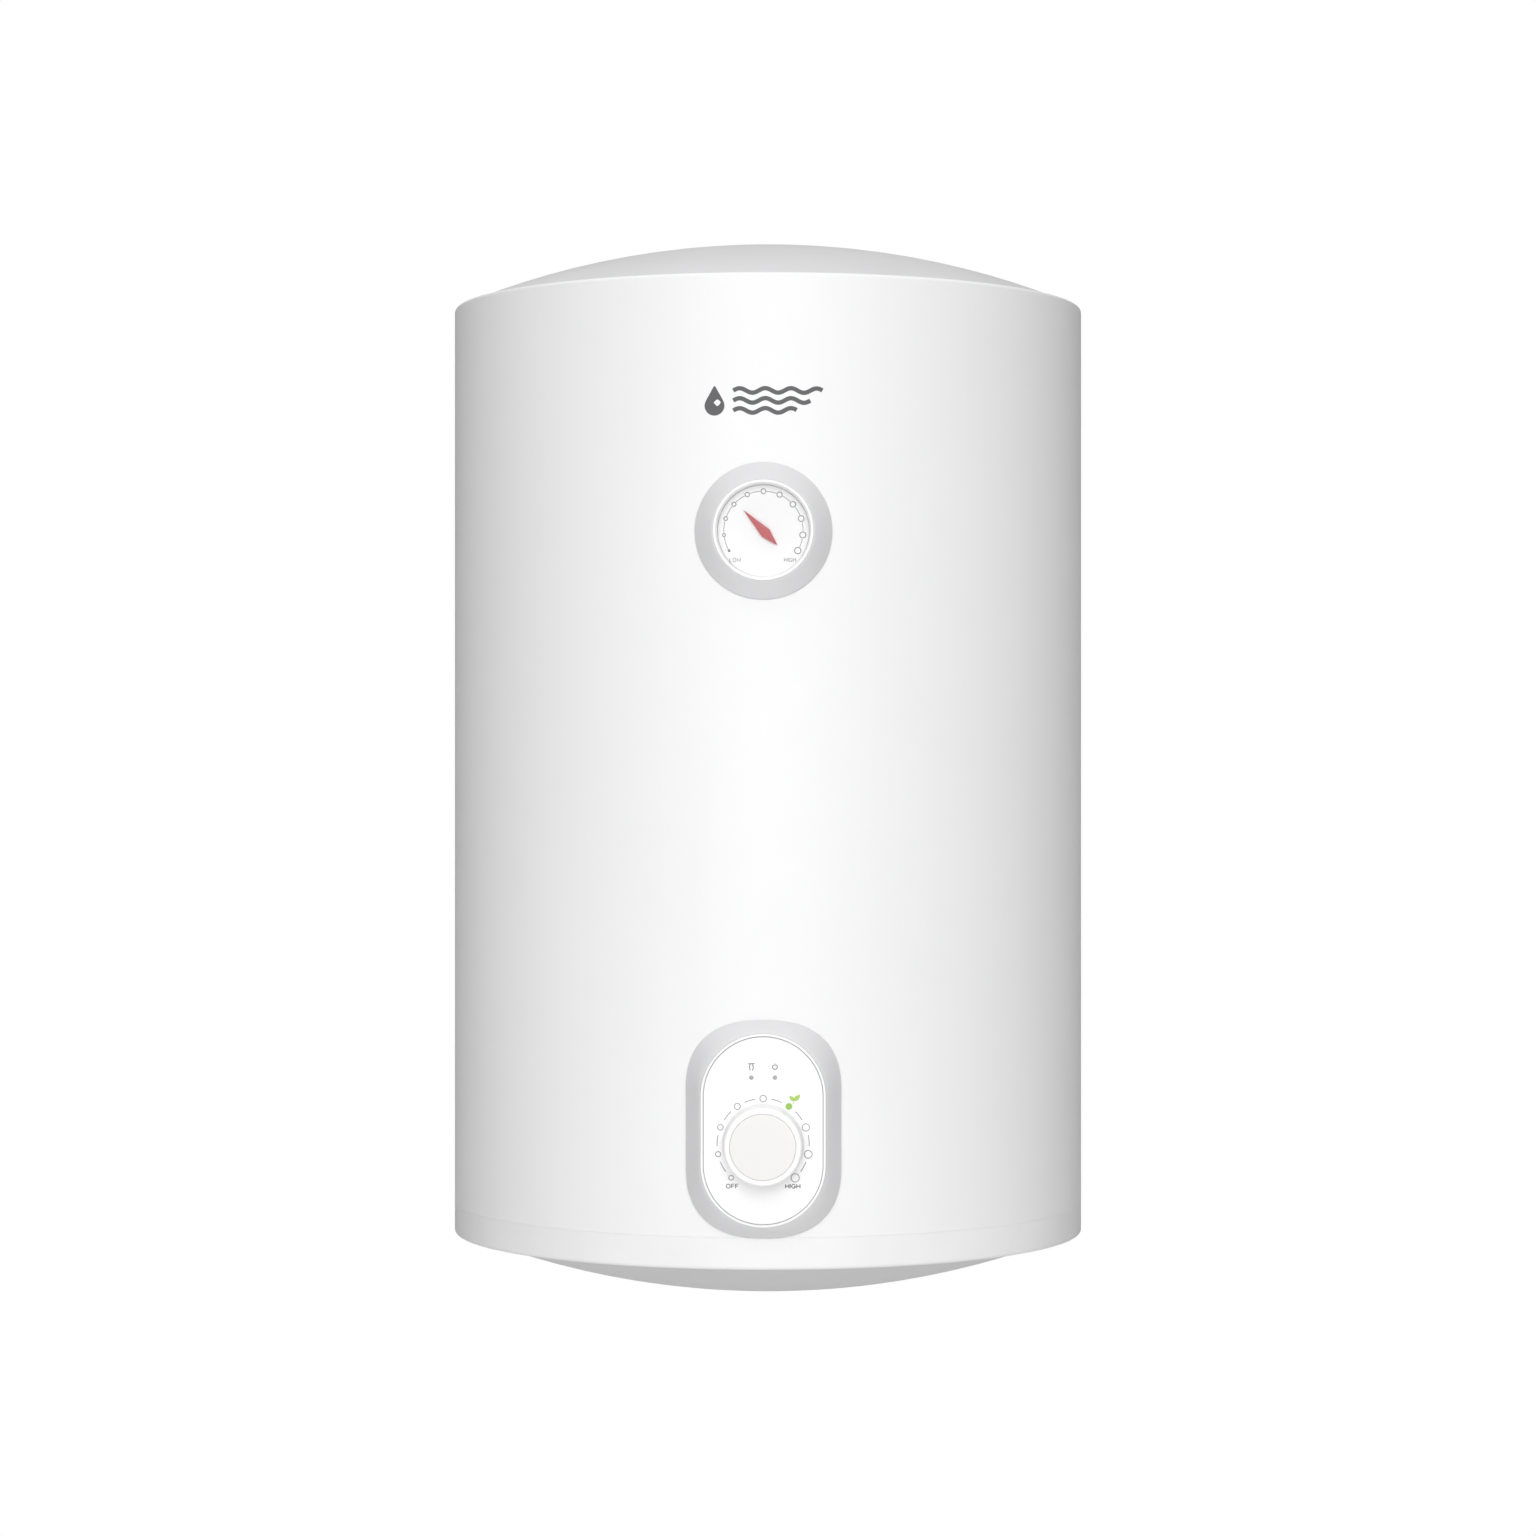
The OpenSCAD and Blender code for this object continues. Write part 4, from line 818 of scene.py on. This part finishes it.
def make_gauge_bezel():
    """The grey ring round the gauge: it sits on the curved casing, with a straight slope up to the rim."""
    r_out, r_in = GAUGE["bezel_r"], GAUGE["cup_r"] + 0.03 * MM
    top = GAUGE["rim_front"] - 0.5 * MM
    foot_gap = 0.2 * MM
    slope = [(1.0, 0.0), (0.995, 0.05), (0.98, 0.09), (0.95, 0.13), (0.9, 0.18), (0.7, 0.37),
             (0.5, 0.56), (0.3, 0.75), (0.14, 0.9), (0.1, 0.935), (0.075, 0.96), (0.045, 0.98),
             (0.02, 0.975), (0.0, 0.94)]
    edge_h, follow = 0.6 * MM, 0.9
    rings = [[at_front(u, v, foot_gap - sag(u), gauge_z) for u, v in circle(r_out, ROUND)]]
    for share, rise in slope:
        r = r_in + (r_out - r_in) * share
        ring = []
        for s, c in circle(1.0, ROUND):
            # the slope starts edge_h above the casing's foremost line and falls back with the casing,
            # most at the outer edge and less and less towards the rim
            low = edge_h - sag(r_out * s) * min(share, follow)
            ring.append(at_front(r * s, r * c, low + (top - low) * rise, gauge_z))
        rings.append(ring)
    rings.append([at_front(u, v, foot_gap - sag(u), gauge_z) for u, v in circle(r_in, ROUND)])
    verts, faces = loft(rings, closed_section=True)
    add_piece("gauge_bezel_shell", verts, faces, "heater", MATERIALS["trim_grey"], "trim_grey",
              ["gauge_bezel"], angle=50)


def make_gauge_cup():
    """The white cup: a rolled rim, a wall down to the dial, and a floor with the spindle's hole."""
    r, wall, front = GAUGE["cup_r"], GAUGE["rim_w"], GAUGE["rim_front"]
    seam = front - 2.3 * MM
    flat = 1.6 * MM
    bevel = front - 1.7 * MM
    rim = soften([(r, seam), (r, front), (r - flat, front), (r - wall, bevel), (r - wall, seam)],
                 {1: 0.3 * MM, 2: 0.4 * MM, 3: 0.1 * MM}, 6)
    verts, faces = revolve_front(rim, gauge_z, closed_section=True)
    add_piece("gauge_rim_ring", verts, faces, "heater", MATERIALS["fascia_white"], "fascia_white",
              ["gauge_rim"])

    floor, card = -3 * MM, -0.8 * MM
    hole, inside, lip = 1.8 * MM, r - wall - 0.2 * MM, seam - 0.05 * MM
    cup = [(hole, floor), (r, floor), (r, lip), (inside, lip), (inside, card), (hole, card)]
    verts, faces = revolve_front(cup, gauge_z, closed_section=True)
    add_piece("gauge_cup", verts, faces, "heater", MATERIALS["pan_white"], "pan_white",
              ["gauge_housing"])


def on_dial(u, v, w):
    return at_front(u, v, GAUGE["dial_face"] + w, gauge_z)


def make_gauge_scale():
    """The dial's print: a dot, then circles that grow clockwise, linked by thin arcs, and two words."""
    ring_r, line, thin, edge_shade_w = 26.2 * MM, 0.6 * MM, 0.42 * MM, 0.35 * MM
    smallest, largest, growth = 1.9, 4.8, 0.6
    clear = 1.15               # each arc stops this share of a mark's half width from its centre
    parts = []
    reach = []
    for k in range(GAUGE_MARKS):
        size = (smallest + (largest - smallest) * (k / (GAUGE_MARKS - 1)) ** growth) * MM
        a = math.radians(GAUGE_START + GAUGE_PITCH * k)
        centre = (ring_r * math.sin(a), ring_r * math.cos(a))
        if k == 0:
            parts.append(disc(centre, size / 2, on_dial, SKIN))
        else:
            parts.append(ring_stroke(centre, (size - line) / 2, line, on_dial, SKIN))
        reach.append(math.degrees(size / 2 / ring_r))
    for k in range(GAUGE_MARKS - 1):
        start = GAUGE_START + GAUGE_PITCH * k + reach[k] * clear
        end = GAUGE_START + GAUGE_PITCH * (k + 1) - reach[k + 1] * clear
        parts.append(stroke(arc((0, 0), ring_r, start, end, 8), thin, on_dial, SKIN))
    add_piece("gauge_scale", *joined(parts), "heater", GAUGE_INK)
    # painted shade: a grey ring at the dial's edge, where the rim's inner wall meets the dial, drawn like a
    # printed border
    border = ring_stroke((0, 0), GAUGE["dial_r"] - edge_shade_w, edge_shade_w, on_dial, SKIN, ROUND)
    add_piece("gauge_edge_painted_shade", *border, "heater", PALE_INK)
    words = word("LOW", (-18.6 * MM, -19.2 * MM), 2.4 * MM, 0.38 * MM, on_dial, SKIN, stretch=1.15)
    words += word("HIGH", (17.6 * MM, -19.2 * MM), 2.4 * MM, 0.38 * MM, on_dial, SKIN, stretch=1.15)
    add_piece("gauge_words", *joined(words), "heater", GAUGE_INK)


def make_needle():
    """A kite-shaped needle, folded along its length, with a small hub."""
    turn = math.radians(NEEDLE_TURN)
    level = front_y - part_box("gauge_needle")[1].y
    thick = 0.6 * MM
    tip, tail, half_w, back = 19.1 * MM, 13.5 * MM, 3.5 * MM, 2.4 * MM

    def place(u, v, w):
        across = u * math.cos(turn) + v * math.sin(turn)
        up = -u * math.sin(turn) + v * math.cos(turn)
        return at_front(across, up, w, gauge_z)

    outline = [(0.0, tip), (half_w, -back), (0.0, -tail), (-half_w, -back)]
    per_side = 12
    rings = []
    for shrink, rise in ((1.0, 0.0), (1.0, thick * 0.45), (0.97, thick * 0.6), (0.0, thick)):
        ring = []
        for i, (u, v) in enumerate(outline):
            u2, v2 = outline[(i + 1) % 4]
            for t in range(per_side):
                x, y = u + (u2 - u) * t / per_side, v + (v2 - v) * t / per_side
                ring.append(place(x * shrink, y, level + rise))
        rings.append(ring)
    verts, faces = loft(rings[:3], caps=(True, False))
    # the ridge along the middle: each point on an edge folds up to the point beside it on the centre line
    start = len(verts)
    verts += rings[3]
    n = len(rings[3])
    for k in range(n):
        m = (k + 1) % n
        faces.append((2 * n + k, 2 * n + m, start + m, start + k))
    add_piece("needle_blade", verts, faces, "needle", MATERIALS["needle_red"], "needle_red",
              ["gauge_needle"], angle=12)
    hub_r, hub_top = 1.7 * MM, level + thick + 0.35 * MM
    hub = [(0.9 * MM, level + 0.3 * MM), (hub_r, level + 0.3 * MM), (hub_r, hub_top - 0.2 * MM),
           (hub_r - 0.2 * MM, hub_top), (0.0, hub_top)]
    verts, faces = revolve_front(hub, gauge_z, 48)
    add_piece("needle_hub", verts, faces, "needle", MATERIALS["needle_red"], "needle_red")


# ------------------------------------------------------------------ emblem


EMBLEM_Z = body_mid + 244.9 * MM


def on_case(u, v, w):
    """A point on the casing's curved front, measured from the emblem's centre."""
    return at_front(u, v, w - sag(u), EMBLEM_Z)


def make_emblem():
    """A plain water drop beside three ripples, printed on the casing."""
    # the drop: a round foot that narrows to a point
    foot, r, peak = (-32.4 * MM, -3.2 * MM), 6.6 * MM, 13 * MM
    drop = []
    for k in range(64):
        a = TAU * k / 64
        lift = max(0.0, math.cos(a)) ** 3
        across = r * math.sin(a) * (1 - 0.55 * lift)
        drop.append((foot[0] + across, foot[1] + r * math.cos(a) + (peak - r) * lift))
    parts = [prism(drop, on_case, SKIN)]
    steps, height, pitch, wave = 60, 1.5 * MM, 6.6 * MM, 17 * MM
    left = -20
    for row, right in enumerate((39, 31, 22)):
        path = []
        for t in range(steps + 1):
            u = (left + (right - left) * t / steps) * MM
            path.append((u, (1 - row) * pitch + height * math.sin(TAU * (u - left * MM) / wave)))
        parts.append(stroke(path, 2.9 * MM, on_case, SKIN))
    add_piece("emblem", *joined(parts), "heater", DARK_INK)


# ------------------------------------------------------------------ pipes


def make_nipple(node, name, slot):
    """A steel nipple with a rolled thread on its free end."""
    lo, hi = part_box(node)
    centre = Vector(((lo.x + hi.x) / 2, (lo.y + hi.y) / 2, 0))
    pipe_r = (hi.x - lo.x) / 2
    bore, crest, root, pitch = 7.5 * MM, 10.48 * MM, 9.35 * MM, 1.814 * MM
    thread_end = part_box("inlet_collar")[0].z
    n, per_turn = 72, 14
    rings = []
    z = lo.z
    step = pitch / per_turn

    def ring(z, radius_at):
        points = []
        for k in range(n):
            a = TAU * k / n
            r = radius_at(a)
            points.append(centre + Vector((r * math.cos(a), r * math.sin(a), z)))
        return points

    rings.append(ring(lo.z, lambda a: bore))
    rings.append(ring(lo.z, lambda a: root - 0.2 * MM))
    while z < thread_end - step:
        z += step
        start = min(1.0, (z - lo.z) / (1.5 * pitch))
        end = min(1.0, (thread_end - z) / (0.8 * pitch))

        def radius_at(a, z=z, ramp_in=start, ramp_out=end):
            phase = ((z - lo.z) / pitch - a / TAU) % 1.0
            height = min(1.0, max(0.0, 1.25 - 2.5 * abs(phase - 0.5)))
            return root + (crest - root) * height * ramp_in * ramp_out

        rings.append(ring(z, radius_at))
    rings.append(ring(thread_end - 0.1 * MM, lambda a: pipe_r - 0.3 * MM))
    rings.append(ring(thread_end, lambda a: pipe_r))
    rings.append(ring(hi.z, lambda a: pipe_r))
    rings.append(ring(hi.z, lambda a: bore))
    verts, faces = loft(rings, closed_section=True)
    add_piece(name, verts, faces, "heater", MATERIALS[slot], slot, [node], angle=60)


# ------------------------------------------------------------------ edges of the CAD pieces


def soften_edges():
    """A fine bevel on the pressed and machined pieces that are seen from behind and below."""
    for node, width in (("upper_hanger", 0.5), ("lower_hanger", 0.5),
                        ("hanger_nuts", 0.25), ("hanger_studs", 0.3)):
        piece = frame["nodes"][node]
        bevel = piece.modifiers.new("edge", "BEVEL")
        bevel.width = width * MM
        bevel.segments = 2
        bevel.limit_method = "ANGLE"
        bevel.angle_limit = math.radians(40)
        bevel.harden_normals = False


# ------------------------------------------------------------------ studio


FLOOR_DROP = 1.3        # below the object's middle, which keeps the floor out of the front view
FLOOR_R = 3.0
FLOOR_TONE = 0.7
FLOOR_VARY = 0.015
ROOM_LEVEL = 0.210      # the dim room all round
ROOM_ABOVE = 1.238      # what straight overhead adds to it
ABOVE_FROM = 0.5        # the sine of the height where that begins
ABOVE_FULL = 0.95       # and where it is complete
KEY_SIZE = 3.6          # the soft light behind the camera
KEY_DISTANCE = 4.0
KEY_RISE = 0.8
KEY_POWER = 113.3
CAMERA_DISTANCE = 2.686
CAMERA_TURN = 0.77      # degrees to the right
CAMERA_LIFT = 2 * MM
CAMERA_LENS = 87.3
CAMERA_SENSOR = 36


def make_stage():
    """A round pale floor."""
    n = 96
    floor_z = body_mid - FLOOR_DROP
    mesh = bpy.data.meshes.new("floor")
    edge = [(across, axis_y + along, floor_z) for along, across in circle(FLOOR_R, n)]
    mesh.from_pydata(edge, [], [tuple(range(n))])
    floor = bpy.data.objects.new("floor", mesh)
    bpy.context.scene.collection.objects.link(floor)
    paint = Nodes("floor_paint")
    paint.colour(paint.mix(paint.ramp(paint.noise(0.8, 3, 0.5), 0.3, 0.7),
                           shade((1, 1, 1), FLOOR_TONE - FLOOR_VARY),
                           shade((1, 1, 1), FLOOR_TONE + FLOOR_VARY)))
    paint.roughness(paint.ramp(paint.noise(3, 3, 0.5), 0.3, 0.7, 0.85, 0.95))
    mesh.materials.append(paint.material)


def area_light(name, place, aim, size, power):
    light = bpy.data.lights.new(name, "AREA")
    light.shape = "DISK"
    light.size = size
    light.energy = power
    lamp = bpy.data.objects.new(name, light)
    lamp.location = place
    lamp.rotation_mode = "QUATERNION"
    lamp.rotation_quaternion = (Vector(aim) - Vector(place)).to_track_quat("-Z", "Y")
    bpy.context.scene.collection.objects.link(lamp)


def make_lights():
    """A dim room, brighter overhead, and one large soft light behind the camera."""
    world = bpy.data.worlds.new("studio")
    bpy.context.scene.world = world
    world.use_nodes = True
    tree = world.node_tree
    background = tree.nodes["Background"]
    background.inputs["Color"].default_value = (1, 1, 1, 1)
    place = tree.nodes.new("ShaderNodeTexCoord")
    split = tree.nodes.new("ShaderNodeSeparateXYZ")
    tree.links.new(place.outputs["Generated"], split.inputs["Vector"])
    room = tree.nodes.new("ShaderNodeMapRange")
    room.inputs["From Min"].default_value = ABOVE_FROM
    room.inputs["From Max"].default_value = ABOVE_FULL
    room.inputs["To Min"].default_value = ROOM_LEVEL
    room.inputs["To Max"].default_value = ROOM_LEVEL + ROOM_ABOVE
    tree.links.new(split.outputs["Z"], room.inputs["Value"])
    # the room behind the object is white where the camera looks at it
    path = tree.nodes.new("ShaderNodeLightPath")
    seen = tree.nodes.new("ShaderNodeMix")
    seen.data_type = "FLOAT"
    tree.links.new(path.outputs["Is Camera Ray"], seen.inputs["Factor"])
    tree.links.new(room.outputs["Result"], seen.inputs["A"])
    seen.inputs["B"].default_value = 1.0
    tree.links.new(seen.outputs["Result"], background.inputs["Strength"])
    middle = Vector((0, axis_y, body_mid))
    area_light("front_light", middle + Vector((0, -KEY_DISTANCE, KEY_RISE)), middle, KEY_SIZE, KEY_POWER)


def make_camera():
    """Level with the casing's middle, far off, and very slightly to the right."""
    turn = math.radians(CAMERA_TURN)
    middle = Vector((0, axis_y, body_mid + CAMERA_LIFT))
    data = bpy.data.cameras.new("camera")
    data.sensor_width = CAMERA_SENSOR
    data.lens = CAMERA_LENS
    camera = bpy.data.objects.new("camera", data)
    away = Vector((math.sin(turn), -math.cos(turn), 0))
    camera.location = middle + away * CAMERA_DISTANCE
    camera.rotation_mode = "QUATERNION"
    camera.rotation_quaternion = (-away).to_track_quat("-Z", "Y")
    bpy.context.scene.collection.objects.link(camera)
    bpy.context.scene.camera = camera
    bpy.context.scene.view_settings.view_transform = "Standard"


dress_cad_nodes()
make_control_bezel()
make_control_fascia()
make_panel_marks()
make_panel_icons()
make_lamps()
make_knob()
make_gauge_bezel()
make_gauge_cup()
make_gauge_scale()
make_needle()
make_emblem()
make_nipple("cold_inlet_nipple", "cold_inlet_pipe", "zinc_steel")
make_nipple("hot_outlet_nipple", "hot_outlet_pipe", "zinc_steel")
soften_edges()
make_stage()
make_lights()
make_camera()
